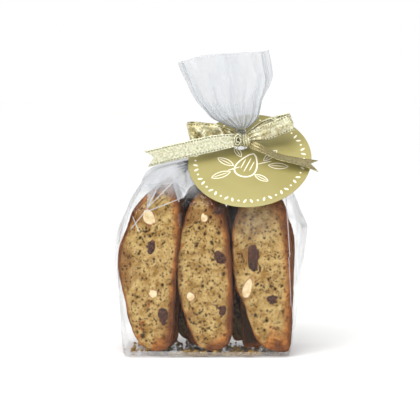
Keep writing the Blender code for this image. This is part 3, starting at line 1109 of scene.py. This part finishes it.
    def creased(self, u: Points, v: Points) -> tuple[Points, Points, Points]:
        """Add the gathers, folds and crumples to the smooth bag.

        Args:
            u: share round the tube.
            v: share from the base to the mouth.

        Returns:
            Places in millimetres, the haze of each and how crumpled each is.
        """
        place = self.surface(u, v)
        along = self.surface(u + 0.002, v) - self.surface(u - 0.002, v)
        up = (self.surface(u, np.minimum(v + 0.002, 1.0))
              - self.surface(u, np.maximum(v - 0.002, self.base_share)))
        outward = unit(np.cross(along, up))
        x, y, z = place.T
        front = (u < 0.40) & (u > 0.0)
        around = u * 330.0
        bent = np.column_stack([around, z * 1.15])
        bent += 5.0 * np.column_stack([soft_noise(bent, 24.0, 11), soft_noise(bent, 24.0, 12)])
        large = facet_noise(bent, 25.0, 21)
        medium = facet_noise(bent + 7.3, 11.0, 22)
        small = facet_noise(bent * np.array([1.0, 0.55]), 5.0, 23)
        shoulder = rise(z, 80.0, 100.0) * (1.0 - rise(z, 114.0, 121.0))
        side = np.where(front, 0.0, 1.0)
        body = rise(z, 2.0, 14.0) * (1.0 - rise(z, 116.0, 121.0))
        fan = rise(z, 136.0, 150.0)
        push = body * (0.30 + 1.05 * side) * (0.55 * large + 0.30 * medium + 0.16 * small)
        push += shoulder * (0.75 * large + 0.65 * medium + 0.30 * small)
        push += fan * (0.55 * large + 0.30 * medium + 0.12 * small)
        gather = rise(z, 96.0, 118.0) * (1.0 - rise(z, 138.0, 176.0))
        sway = 0.6 * soft_noise(np.column_stack([u * 9.0, z * 0.02]), 1.0, 31)
        ridge = 2.0 * np.abs(np.mod(u * 17.0 + sway, 1.0) - 0.5) * 2.0 - 1.0
        neck = np.exp(-((z - 128.0) / 9.0) ** 2)
        push += gather * ridge * (1.1 - 0.75 * neck) * np.where(z > 134.0, 0.6, 1.0)
        edges, outs = np.array(self.fan_folds).T
        fold = np.interp(np.mod(u + 0.010 * soft_noise(np.column_stack([u * 6.0, z * 0.03]), 1.0, 33), 1.0),
                         edges, outs)
        swing = rise(z, 136.0, 176.0)
        push += swing * fold * 2.6 * np.where(front, 0.8, 1.0)
        hold = rise(z, 0.3, 4.0)
        place = place + outward * (push * hold)[:, None]
        place[:, 1] = np.where(front, self.under_card(place[:, 0], place[:, 1], place[:, 2]), place[:, 1])
        flutter = soft_noise(np.column_stack([x * 1.0, y * 1.0]), 9.0, 41)
        place[:, 2] += rise(z, 172.0, 181.0) * (0.5 * flutter + 0.5 * fold)
        haze = 0.003 + 0.70 * shoulder * (1.0 - rise(x, -14.0, 6.0)) * rise(z, 92.0, 108.0)
        haze += 0.16 * np.where(front, 0.0, body) * rise(medium, -0.3, 0.9)
        # The side gussets hang in loose folds, which dull them a little.
        gusset = rise(u, 0.395, 0.42) * (1.0 - rise(u, 0.49, 0.52)) + rise(u, 0.86, 0.89)
        haze += 0.17 * gusset * body * (0.75 + 0.25 * large)
        haze += 0.45 * rise(z, 134.0, 137.0) * (1.0 - rise(z, 138.0, 152.0))
        haze += fan * (0.15 + 0.22 * rise(np.abs(fold), 0.35, 0.8) + 0.14 * rise(medium, 0.0, 0.9))
        haze += 0.45 * gather * rise(ridge, 0.2, 1.0) * rise(z, 104.0, 116.0)
        veil = np.exp(-((x - 27.0) / 12.0) ** 2) * rise(z, 62.0, 80.0)
        haze += np.where(front & (z < 110.0), 0.07 * veil, 0.0)
        crumple = 0.10 + 0.75 * shoulder + 0.45 * body * side + 0.35 * fan
        return place, np.clip(haze, 0.0, 1.0), np.clip(crumple, 0.0, 1.0)

    def build(self, material: bpy.types.Material) -> bpy.types.Object:
        """Make the bag as one thin-walled piece, open at the mouth only."""
        bm = bmesh.new()
        haze_layer = bm.verts.layers.float.new("haze")
        crumple_layer = bm.verts.layers.float.new("crumple")
        bmesh.ops.create_cone(bm, cap_ends=False, segments=self.columns, radius1=1.0, radius2=1.0, depth=1.0)
        rising = [e for e in bm.edges if abs(e.verts[0].co.z - e.verts[1].co.z) > 0.5]
        bmesh.ops.subdivide_edges(bm, edges=rising, cuts=self.rows - 2, use_grid_fill=True)
        verts = list(bm.verts)
        shell = np.array([vert.co[:] for vert in verts])
        u = np.mod(np.arctan2(shell[:, 1], shell[:, 0]) / (2.0 * math.pi), 1.0)
        v = np.clip(shell[:, 2] + 0.5, 0.0, 1.0)
        places, haze, crumple = self.creased(u, v)
        for vert, place in zip(verts, places * MM):
            vert.co = place
        for vert, cloud, crush in zip(verts, haze, crumple):
            vert[haze_layer], vert[crumple_layer] = float(cloud), float(crush)
        bottom = [vert for vert, low in zip(verts, v) if low < 1e-4]
        bmesh.ops.pointmerge(bm, verts=bottom, merge_co=Vector((-1.5, 0.0, 0.3)) * MM)
        bmesh.ops.recalc_face_normals(bm, faces=bm.faces)
        piece = object_from(bm, "film_bag", material)
        wall = piece.modifiers.new("film_wall", "SOLIDIFY")
        wall.thickness = self.wall_mm * MM
        wall.offset = -1.0
        return piece


@dataclass
class FilmFoldsAndGlints:
    """Doubled film on the front: folded-over film on the left slice's tip and the folded foot of the bag, and
    thin milky strips that are painted highlights.

    The strips lie along the creases over the left slice's tip and down the right front edge, where those
    creases glint. Each piece is four corners, across and up in millimetres, and how milky it is.
    """

    bag: FilmBag
    lift_mm: float = 0.35
    flaps_and_glints: tuple[tuple[tuple[tuple[float, float], ...], float], ...] = (
        # Thin strips here are painted highlights: milky film where the creases over the left tip glint.
        (((-37.3, 88.4), (-36.9, 87.9), (-18.2, 106.8), (-18.7, 107.2)), 0.6),
        (((-37.4, 86.8), (-36.9, 86.2), (-14.6, 94.8), (-14.8, 95.3)), 0.5),
        (((-31.9, 99.2), (-31.0, 98.7), (-36.2, 88.4), (-37.0, 88.9)), 0.6),
        (((-22.2, 105.6), (-21.5, 105.8), (-17.6, 92.2), (-18.3, 92.0)), 0.5),
        (((-37.0, 88.0), (-31.6, 98.6), (-27.6, 102.6), (-36.0, 103.4)), 0.34),
        (((-18.4, 93.0), (-21.4, 105.0), (-12.6, 97.6), (-14.8, 95.0)), 0.42),
        (((-45.6, 84.0), (-45.0, 83.6), (-41.2, 75.0), (-41.8, 74.8)), 0.7),
        (((-46.4, 76.6), (-46.4, 75.8), (-36.6, 87.6), (-37.0, 88.2)), 0.55),
        (((-50.5, 3.8), (-50.2, 0.6), (-14.6, 0.6), (-15.0, 3.9)), 0.30),
        (((-15.0, 3.4), (-14.6, 0.6), (46.4, 0.6), (46.8, 3.2)), 0.16),
        # Thin strips down the right front edge: painted highlights where that edge glints.
        (((44.6, 98.4), (45.2, 98.2), (47.6, 60.0), (47.0, 60.0)), 0.5),
        (((46.4, 60.0), (47.0, 60.0), (48.4, 30.0), (47.9, 30.0)), 0.35),
    )

    def build(self, material: bpy.types.Material) -> bpy.types.Object:
        """Make every flap as one mesh of thin closed sheets."""
        bm = bmesh.new()
        haze_layer = bm.verts.layers.float.new("haze")
        crumple_layer = bm.verts.layers.float.new("crumple")
        for number, (corners, milk) in enumerate(self.flaps_and_glints):
            grid = bmesh.ops.create_grid(bm, x_segments=20, y_segments=20, size=1.0)["verts"]
            square = np.array([vert.co[:2] for vert in grid])
            across, up = (square[:, :1] + 1.0) / 2.0, (square[:, 1:] + 1.0) / 2.0
            a, b, c, d = (np.array(corner) for corner in corners)
            flat = (a * (1 - up) + b * up) * (1 - across) + (d * (1 - up) + c * up) * across
            front = self.bag.station_values(flat[:, 1])[2]
            depth = self.bag.drape(flat[:, 0], flat[:, 1], front) - self.lift_mm - 0.5
            depth += 0.12 * soft_noise(flat, 4.0, 60 + number)
            for vert, (x, z), y in zip(grid, flat, depth):
                vert.co = Vector((x, y, z)) * MM
                vert[haze_layer], vert[crumple_layer] = milk, 0.4
            faces = list({face for vert in grid for face in vert.link_faces})
            bmesh.ops.recalc_face_normals(bm, faces=faces)
        piece = object_from(bm, "film_folds_and_glints", material)
        wall = piece.modifiers.new("fold_and_glint_wall", "SOLIDIFY")
        wall.thickness = self.bag.wall_mm * MM
        wall.offset = 0.0
        return piece


# ---------------------------------------------------------------- ribbon


@dataclass
class Strap:
    """One run of ribbon: its middle line, the way its width points and how wide it is spread."""

    name: str
    knots: tuple[tuple[tuple[float, ...], tuple[float, ...], float], ...]
    crumple_mm: float = 0.25
    swallowtail: bool = False
    along: int = 130
    across: int = 18
    # How much the strap is darkened with painted shade, from 0 to 1.
    deep: float = 0.3
    facet_mm: float = 5.5


@dataclass
class Bow:
    """The bow: two loops, two tails, a rolled fold and a pleated wrap, and the turn round the neck."""

    width_mm: float = 10.0
    notch_mm: float = 5.0
    wall_mm: float = 0.28
    straps: tuple[Strap, ...] = (
        Strap("left_tail", (
            ((18.2, -11.4, 128.0), (-0.2, -0.1, 1.0), 0.55), ((12.0, -12.4, 127.6), (-0.2, -0.12, 1.0), 0.85),
            ((2.0, -12.9, 126.0), (-0.22, -0.15, 1.0), 1.0), ((-19.0, -13.4, 121.4), (-0.2, -0.15, 1.0), 1.0),
            ((-38.0, -14.0, 116.9), (-0.38, -0.1, 1.0), 1.0)), 0.22, True, 190, deep=0.0),
        Strap("right_tail", (
            ((21.5, -9.4, 127.2), (0.2, 0.1, 1.0), 0.35), ((30.0, -13.5, 123.8), (0.1, 0.85, 0.5), 0.8),
            ((41.0, -16.0, 118.6), (0.0, 0.94, 0.33), 1.0), ((53.0, -19.0, 115.9), (-0.05, 0.92, 0.38), 1.0),
            ((64.6, -17.5, 113.0), (-0.31, 0.66, 0.68), 1.0)), 0.16, True, 170, deep=0.95),
        Strap("left_loop", (
            ((17.0, -8.8, 129.8), (0.1, 0.0, 1.0), 0.40), ((3.0, -10.6, 133.0), (0.15, 0.1, 1.0), 0.95),
            ((-9.5, -10.6, 133.2), (0.05, 0.1, 1.0), 1.0), ((-12.2, -8.2, 133.4), (-0.05, 0.05, 1.0), 1.0),
            ((-9.0, -6.0, 134.0), (-0.1, 0.0, 1.0), 1.0), ((3.5, -6.2, 132.6), (0.15, 0.0, 1.0), 0.95),
            ((17.0, -6.2, 129.2), (0.1, 0.0, 1.0), 0.40)), 1.7, False, 240, deep=0.8, facet_mm=3.4),
        Strap("right_loop", (
            ((21.5, -9.8, 129.2), (-0.3, 0.0, 1.0), 0.40), ((33.0, -12.8, 132.4), (-0.35, -0.1, 1.0), 0.95),
            ((46.0, -12.4, 137.6), (-0.45, -0.05, 1.0), 1.0), ((49.4, -10.0, 138.8), (-0.45, 0.0, 1.0), 1.0),
            ((45.5, -7.4, 138.8), (-0.4, 0.05, 1.0), 1.0), ((33.5, -7.0, 135.2), (-0.35, 0.0, 1.0), 0.95),
            ((21.5, -6.6, 129.4), (-0.3, 0.0, 1.0), 0.40)), 0.9, False, 240, deep=0.45, facet_mm=4.0),
    )

    def sweep(self, strap: Strap) -> bmesh.types.BMesh:
        """Sweep one strap along its line.

        Args:
            strap: the strap.

        Returns:
            A bmesh with the UV map strap, in millimetres across and along.
        """
        bm = bmesh.new()
        layer = bm.loops.layers.uv.new("strap")
        shade_layer = bm.verts.layers.float.new("deep")
        bmesh.ops.create_grid(bm, x_segments=strap.across, y_segments=strap.along, size=1.0)
        verts = list(bm.verts)
        square = np.array([vert.co[:2] for vert in verts])
        share_across, share_along = square[:, 0], (square[:, 1] + 1.0) / 2.0
        points = np.array([knot[0] for knot in strap.knots])
        widths = unit(np.array([knot[1] for knot in strap.knots]))
        spans = np.array([knot[2] for knot in strap.knots])
        last = len(points) - 1
        dense = open_curve(points, np.linspace(0.0, last, 600))
        run = np.concatenate([[0.0], np.cumsum(np.linalg.norm(np.diff(dense, axis=0), axis=1))])
        if strap.swallowtail:
            reach = run[-1] - self.notch_mm * (1.0 - np.abs(share_across))
            length = share_along * (run[-1] - self.notch_mm)
            length += rise(share_along, 0.72, 1.0) * (reach - (run[-1] - self.notch_mm))
        else:
            length = share_along * run[-1]
        place = np.interp(length, run, np.linspace(0.0, last, 600))
        middle = open_curve(points, place)
        ahead = (open_curve(points, np.minimum(place + 0.02, last))
                 - open_curve(points, np.maximum(place - 0.02, 0)))
        lean = unit(open_curve(widths, place))
        tangent = unit(ahead)
        lean = unit(lean - tangent * np.sum(lean * tangent, axis=1)[:, None])
        normal = np.cross(tangent, lean)
        span = np.interp(place, np.arange(last + 1), spans)
        flat = np.column_stack([share_across * 5.0, length])
        seed = sum(ord(letter) for letter in strap.name)
        crush = facet_noise(flat + 3.0 * soft_noise(flat, 7.0, seed)[:, None], strap.facet_mm, seed + 1) * 0.8
        crush += soft_noise(flat, 3.0, seed + 2) * 0.35
        lift = crush * strap.crumple_mm
        fold = np.cos(share_across * math.pi * 3.0) * (1.0 - span) * 1.1
        curl = 0.25 * share_across ** 2
        rows = middle + lean * (share_across * span * self.width_mm / 2.0)[:, None]
        rows += normal * (lift + fold - curl)[:, None]
        for index, (vert, row) in enumerate(zip(verts, rows * MM)):
            vert.co = row
            vert.index = index
            # Painted shade: each strap's own share, darker still on some crumpled facets of the loops.
            vert[shade_layer] = float(np.clip(
                strap.deep + 0.55 * crush[index] * (strap.facet_mm < 5.0), 0.0, 1.0))
        for face in bm.faces:
            for loop in face.loops:
                loop[layer].uv = flat[loop.vert.index]
        return bm

    def scroll(self) -> Strap:
        """Return the rolled fold left of the wrap: a strap wound on itself, seen end on."""
        turns, steps = 1.75, 15
        knots = []
        for step in range(steps):
            share = step / (steps - 1)
            turn = math.radians(40.0) + share * turns * 2.0 * math.pi
            reach = 3.9 - 2.5 * share
            knots.append((
                (17.2 + 0.74 * reach * math.cos(turn), -12.2 - 0.6 * share,
                 127.9 + 1.05 * reach * math.sin(turn)),
                (-0.15, -1.0, 0.05), 0.50))
        return Strap("rolled_fold", tuple(knots), 0.12, False, 170, 10)

    def wrap(self, name: str, centre: tuple[float, float, float], half: tuple[float, float],
             width: float, axis: str, shear: float) -> bmesh.types.BMesh:
        """Make a closed pleated turn of ribbon.

        Args:
            name: gives the pleats their own pattern.
            centre: its middle, in millimetres.
            half: its two half sizes across its axis.
            width: its length along its axis.
            axis: X for the knot's wrap and Z for the turn round the neck.
            shear: how much it rises along its depth.

        Returns:
            A bmesh with the UV map strap.
        """
        bm = bmesh.new()
        layer = bm.loops.layers.uv.new("strap")
        shade_layer = bm.verts.layers.float.new("deep")
        bmesh.ops.create_cone(bm, cap_ends=False, segments=110, radius1=1.0, radius2=1.0, depth=2.0)
        rising = [e for e in bm.edges if abs(e.verts[0].co.z - e.verts[1].co.z) > 0.5]
        bmesh.ops.subdivide_edges(bm, edges=rising, cuts=26, use_grid_fill=True)
        verts = list(bm.verts)
        shell = np.array([vert.co[:] for vert in verts])
        turn = np.arctan2(shell[:, 1], shell[:, 0])
        along = shell[:, 2]
        seed = len(name) * 5
        sway = 0.35 * soft_noise(np.column_stack([np.cos(turn), np.sin(turn), along * 0.2]), 0.8, seed)
        pleat = 0.30 * np.cos((along + sway) * math.pi * 3.5)
        swell = 0.7 * np.sqrt(np.clip(1.0 - along ** 2, 0.0, 1.0))
        radial = 1.0 + 0.0 * along
        a = (half[0] * radial + pleat + swell) * np.cos(turn)
        b = (half[1] * radial + pleat + swell) * np.sin(turn)
        c = along * width / 2.0
        rows = np.column_stack([c, a, b]) if axis == "X" else np.column_stack([a, b, c])
        rows[:, 2] += rows[:, 1] * shear
        rows += np.array(centre)
        for index, (vert, row) in enumerate(zip(verts, rows * MM)):
            vert.co = row
            vert.index = index
            # Painted shade: darker in the inward folds of the pleats.
            vert[shade_layer] = float(np.clip(0.45 - pleat[index], 0.0, 1.0))
        flat = np.column_stack([along * 4.6, np.mod(turn, 2.0 * math.pi) * 4.0])
        for face in bm.faces:
            for loop in face.loops:
                loop[layer].uv = flat[loop.vert.index]
        bmesh.ops.recalc_face_normals(bm, faces=bm.faces)
        return bm

    def build(self, material: bpy.types.Material) -> bpy.types.Object:
        """Make the whole bow as one piece of thin ribbon."""
        whole = bmesh.new()
        parts = [self.sweep(strap) for strap in self.straps] + [self.sweep(self.scroll())]
        parts.append(self.wrap("knot_wrap", (21.9, -9.2, 127.7), (2.9, 3.0), 5.4, "X", 0.0))
        parts.append(self.wrap("neck_turn", (19.0, 0.0, 130.4), (3.7, 3.7), 3.4, "Z",
                               math.tan(math.radians(28.0))))
        for part in parts:
            mesh = bpy.data.meshes.new("part")
            part.to_mesh(mesh)
            part.free()
            whole.from_mesh(mesh)
            bpy.data.meshes.remove(mesh)
        piece = object_from(whole, "ribbon_bow", material)
        wall = piece.modifiers.new("ribbon_wall", "SOLIDIFY")
        wall.thickness = self.wall_mm * MM
        wall.offset = 0.0
        return piece


# ---------------------------------------------------------------- card


@dataclass
class CollarCard:
    """The round card threaded on the neck, with a ring of dashes and an almond sprig in cream ink."""

    radius_mm: float = 37.0
    thickness_mm: float = 0.5
    hole_mm: float = 5.2
    off_centre: tuple[float, float] = (4.0, -13.9)
    ring_mm: float = 32.5
    print_mm: float = 0.05

    def seat(self) -> Matrix:
        """Return where the card sits: its hole's middle and its tip forwards and to one side."""
        return (Matrix.Translation(Vector((19.0, 0.0, 125.6)) * MM)
                @ Matrix.Rotation(math.radians(-6.0), 4, "Y")
                @ Matrix.Rotation(math.radians(45.5), 4, "X"))

    def build(self, material: bpy.types.Material) -> bpy.types.Object:
        """Make the card as one closed piece with a hole and softened edges."""
        bm = bmesh.new()
        rim = bmesh.ops.create_circle(bm, cap_ends=False, segments=144, radius=self.radius_mm * MM)["verts"]
        bmesh.ops.translate(bm, verts=rim, vec=(self.off_centre[0] * MM, self.off_centre[1] * MM, 0.0))
        bmesh.ops.create_circle(bm, cap_ends=False, segments=144, radius=self.hole_mm * MM)
        bmesh.ops.bridge_loops(bm, edges=bm.edges[:])
        spokes = [e for e in bm.edges if e.calc_length() > 0.01]
        bmesh.ops.subdivide_edges(bm, edges=spokes, cuts=12, use_grid_fill=True)
        lifted = bmesh.ops.extrude_face_region(bm, geom=bm.faces[:], use_keep_orig=True)
        top = [item for item in lifted["geom"] if isinstance(item, bmesh.types.BMVert)]
        bmesh.ops.translate(bm, verts=top, vec=(0.0, 0.0, self.thickness_mm * MM))
        bmesh.ops.translate(bm, verts=bm.verts, vec=(0.0, 0.0, -self.thickness_mm * MM / 2.0))
        bmesh.ops.recalc_face_normals(bm, faces=bm.faces)
        corners = [e for e in bm.edges if len(e.link_faces) == 2 and e.calc_face_angle(0.0) > 1.0]
        bmesh.ops.bevel(bm, geom=corners, offset=0.14 * MM, segments=2, profile=0.5, affect="EDGES",
                        material=-1)
        bmesh.ops.transform(bm, matrix=self.seat(), verts=bm.verts)
        return object_from(bm, "collar_card", material)

    def stamp(self, bm: bmesh.types.BMesh, outline: Points, hollow: float = 0.0) -> None:
        """Lay one printed shape on the card.

        Args:
            bm: the print's bmesh.
            outline: rows of places round the shape, in millimetres from the card's middle.
            hollow: the line's width if only the outline is printed, or 0 for a filled shape.
        """
        start = len(bm.faces)
        ring = bmesh.ops.create_circle(bm, cap_ends=True, segments=len(outline), radius=1.0)["verts"]
        for vert, (x, y) in zip(ring, outline):
            vert.co = Vector((x + self.off_centre[0], y + self.off_centre[1], 0.0)) * MM
        bm.faces.ensure_lookup_table()
        faces = bm.faces[start:]
        if hollow:
            inner = list(faces)
            rim = bmesh.ops.inset_region(bm, faces=inner, thickness=hollow * MM,
                                           use_even_offset=True, use_boundary=True)["faces"]
            bmesh.ops.delete(bm, geom=inner, context="FACES_ONLY")
            faces = rim
        raised = bmesh.ops.extrude_face_region(bm, geom=faces, use_keep_orig=True)
        top = [item for item in raised["geom"] if isinstance(item, bmesh.types.BMVert)]
        bmesh.ops.translate(bm, verts=top, vec=(0.0, 0.0, self.print_mm * MM))

    @staticmethod
    def leaf(x: float, y: float, length: float, width: float, turn: float, point: float = 1.6) -> Points:
        """Return a pointed leaf's outline: its middle, size and turn in degrees."""
        angles = np.linspace(0.0, 2.0 * math.pi, 28, endpoint=False)
        along = np.cos(angles) * length / 2.0
        across = np.sign(np.sin(angles)) * np.abs(np.sin(angles)) ** point * width / 2.0
        c, s = math.cos(math.radians(turn)), math.sin(math.radians(turn))
        return np.column_stack([x + along * c - across * s, y + along * s + across * c])

    @staticmethod
    def almond(x: float, y: float, length: float, width: float, turn: float) -> Points:
        """Return an almond's outline: round at one end and pointed at the other."""
        angles = np.linspace(0.0, 2.0 * math.pi, 44, endpoint=False)
        along = np.cos(angles) * length / 2.0
        across = (np.sin(angles) * (1.0 - 0.42 * np.cos(angles)) * width / 2.0
                  * (1.0 - 0.25 * (np.cos(angles) > 0.9)))
        c, s = math.cos(math.radians(turn)), math.sin(math.radians(turn))
        return np.column_stack([x + along * c - across * s, y + along * s + across * c])

    def build_print(self, material: bpy.types.Material) -> bpy.types.Object:
        """Make the ring of dashes and the sprig as one thin raised piece."""
        bm = bmesh.new()
        count = 54
        for number in range(count):
            turn = 360.0 * number / count
            x = self.ring_mm * math.cos(math.radians(turn))
            y = self.ring_mm * math.sin(math.radians(turn))
            if number % 3 == 2:
                self.stamp(bm, self.leaf(x, y, 1.3, 1.3, turn, 1.0))
            else:
                self.stamp(bm, self.leaf(x, y, 3.1, 1.35, turn + (24.0 if number % 3 else -24.0), 1.2))
        for x, y, length, width, turn in (
                (-18.0, -9.6, 12.5, 5.0, 196.0), (-14.4, 0.4, 12.0, 4.6, 140.0),
                (16.5, -7.4, 12.5, 5.0, -14.0),
                (12.6, 1.6, 12.0, 4.6, 40.0), (-6.4, 7.0, 9.5, 3.8, 112.0), (5.6, -15.4, 10.0, 4.0, -40.0)):
            self.stamp(bm, self.leaf(x, y, length, width, turn), 0.55)
            self.stamp(bm, self.leaf(x, y, length * 0.72, 0.5, turn, 1.0))
        self.stamp(bm, self.almond(-1.6, -4.0, 20.0, 13.0, 62.0), 0.95)
        for offset, length in ((-2.8, 8.0), (0.0, 12.0), (2.8, 8.0)):
            turn = math.radians(62.0)
            self.stamp(bm, self.leaf(-1.6 - offset * math.sin(turn), -4.0 + offset * math.cos(turn),
                                     length, 0.7, 62.0, 1.0))
        self.stamp(bm, self.leaf(-10.0, -5.8, 8.0, 0.8, 14.0, 1.0))
        self.stamp(bm, self.leaf(8.6, -3.6, 9.0, 0.8, 8.0, 1.0))
        bmesh.ops.recalc_face_normals(bm, faces=bm.faces)
        lift = Matrix.Translation((0.0, 0.0, (self.thickness_mm / 2.0 - 0.01) * MM))
        bmesh.ops.transform(bm, matrix=self.seat() @ lift, verts=bm.verts)
        return object_from(bm, "card_print", material, smooth=False)


# ---------------------------------------------------------------- stage


@dataclass
class Studio:
    """A pale floor, soft light from large boxes and the camera."""

    camera_distance: float = 1.0
    camera_elevation: float = 4.2
    lens_mm: float = 141.5
    target_mm: tuple[float, float, float] = (0.3, 0.0, 85.4)
    floor_size: float = 30.0
    sky_light: float = 0.64

    def build_floor(self) -> None:
        """Make the floor, which isn't part of the object."""
        material, tree, shader = new_material("pale_board")
        coords = add_node(tree, "TexCoord").outputs["Object"]
        cloud = add_node(tree, "TexNoise", {"Scale": 3.0, "Detail": 2.0}, {"Vector": coords})
        tone = ramp_node(tree, cloud.outputs["Fac"], [(0.3, linear("F4F4F3")), (0.7, linear("F6F6F6"))])
        tree.links.new(tone, shader.inputs["Base Color"])
        shader.inputs["Roughness"].default_value = 0.9
        bm = bmesh.new()
        bmesh.ops.create_grid(bm, x_segments=2, y_segments=2, size=self.floor_size / 2.0)
        floor = object_from(bm, "floor", material, smooth=False)
        floor.location.z = -0.0002

    def add_box(self, name: str, place: tuple[float, float, float], size: float, power: float) -> None:
        """Add one soft box that faces the bag's middle."""
        light = bpy.data.lights.new(name, "AREA")
        light.shape = "SQUARE"
        light.size = size
        light.energy = power
        lamp = bpy.data.objects.new(name, light)
        bpy.context.scene.collection.objects.link(lamp)
        lamp.location = place
        aim = Vector((0.0, 0.0, 0.09)) - Vector(place)
        lamp.rotation_euler = aim.to_track_quat("-Z", "Y").to_euler()

    def build_lights(self) -> None:
        """Set a white room and three soft boxes."""
        world = bpy.data.worlds.new("white_room")
        bpy.context.scene.world = world
        world.use_nodes = True
        tree = world.node_tree
        tree.nodes.clear()
        seen = add_node(tree, "LightPath").outputs["Is Camera Ray"]
        dim = add_node(tree, "Background", {"Color": linear("FFFFFF"), "Strength": self.sky_light})
        bright = add_node(tree, "Background", {"Color": linear("FFFFFF"), "Strength": 1.0})
        both = add_node(tree, "MixShader", links={0: seen, 1: dim.outputs[0], 2: bright.outputs[0]})
        add_node(tree, "OutputWorld", links={"Surface": both.outputs[0]})
        self.add_box("box_left", (-0.9, -1.0, 0.75), 0.8, 7.0)
        self.add_box("box_right", (1.2, -0.5, 0.45), 0.6, 5.0)
        self.add_box("box_side", (-1.25, 0.1, 0.35), 0.6, 4.5)
        sun = bpy.data.lights.new("wide_soft_light", "SUN")
        sun.energy = 2.0
        sun.angle = math.radians(50.0)
        lamp = bpy.data.objects.new("wide_soft_light", sun)
        bpy.context.scene.collection.objects.link(lamp)
        lamp.rotation_euler = (math.radians(38.0), math.radians(-12.0), 0.0)

    def build_camera(self) -> None:
        """Set the camera in front and a little above."""
        data = bpy.data.cameras.new("camera")
        data.lens = self.lens_mm
        data.sensor_width = 36.0
        camera = bpy.data.objects.new("camera", data)
        bpy.context.scene.collection.objects.link(camera)
        rise_angle = math.radians(self.camera_elevation)
        target = Vector(self.target_mm) * MM
        back = Vector((0.0, -math.cos(rise_angle), math.sin(rise_angle)))
        camera.location = target + back * self.camera_distance
        camera.rotation_euler = (-back).to_track_quat("-Z", "Y").to_euler()
        bpy.context.scene.camera = camera

    def build(self) -> None:
        """Build the floor, the lights and the camera."""
        self.build_floor()
        self.build_lights()
        self.build_camera()
        bpy.context.scene.view_settings.view_transform = "Standard"
        bpy.context.scene.cycles.transparent_max_bounces = 40


def main() -> None:
    """Build every piece in order, then the stage."""
    finishes = Finishes()
    slices = batch()
    for item in slices:
        place_piece(item.build(finishes.crumb))
    place_piece(Fillings("raisins", True, slices).build(finishes.raisin))
    place_piece(Fillings("almonds", False, slices).build(finishes.almond))
    place_piece(Crumbs().build(finishes.crumb))
    bag = FilmBag()
    place_piece(bag.build(finishes.film), ("bag",))
    place_piece(FilmFoldsAndGlints(bag).build(finishes.film))
    place_piece(Bow().build(finishes.ribbon), ("ribbon",))
    card = CollarCard()
    place_piece(card.build(finishes.card), ("tag",))
    place_piece(card.build_print(finishes.print_ink))
    Studio().build()
    LOG.info("sizes written")


if __name__ == "__main__":
    main()
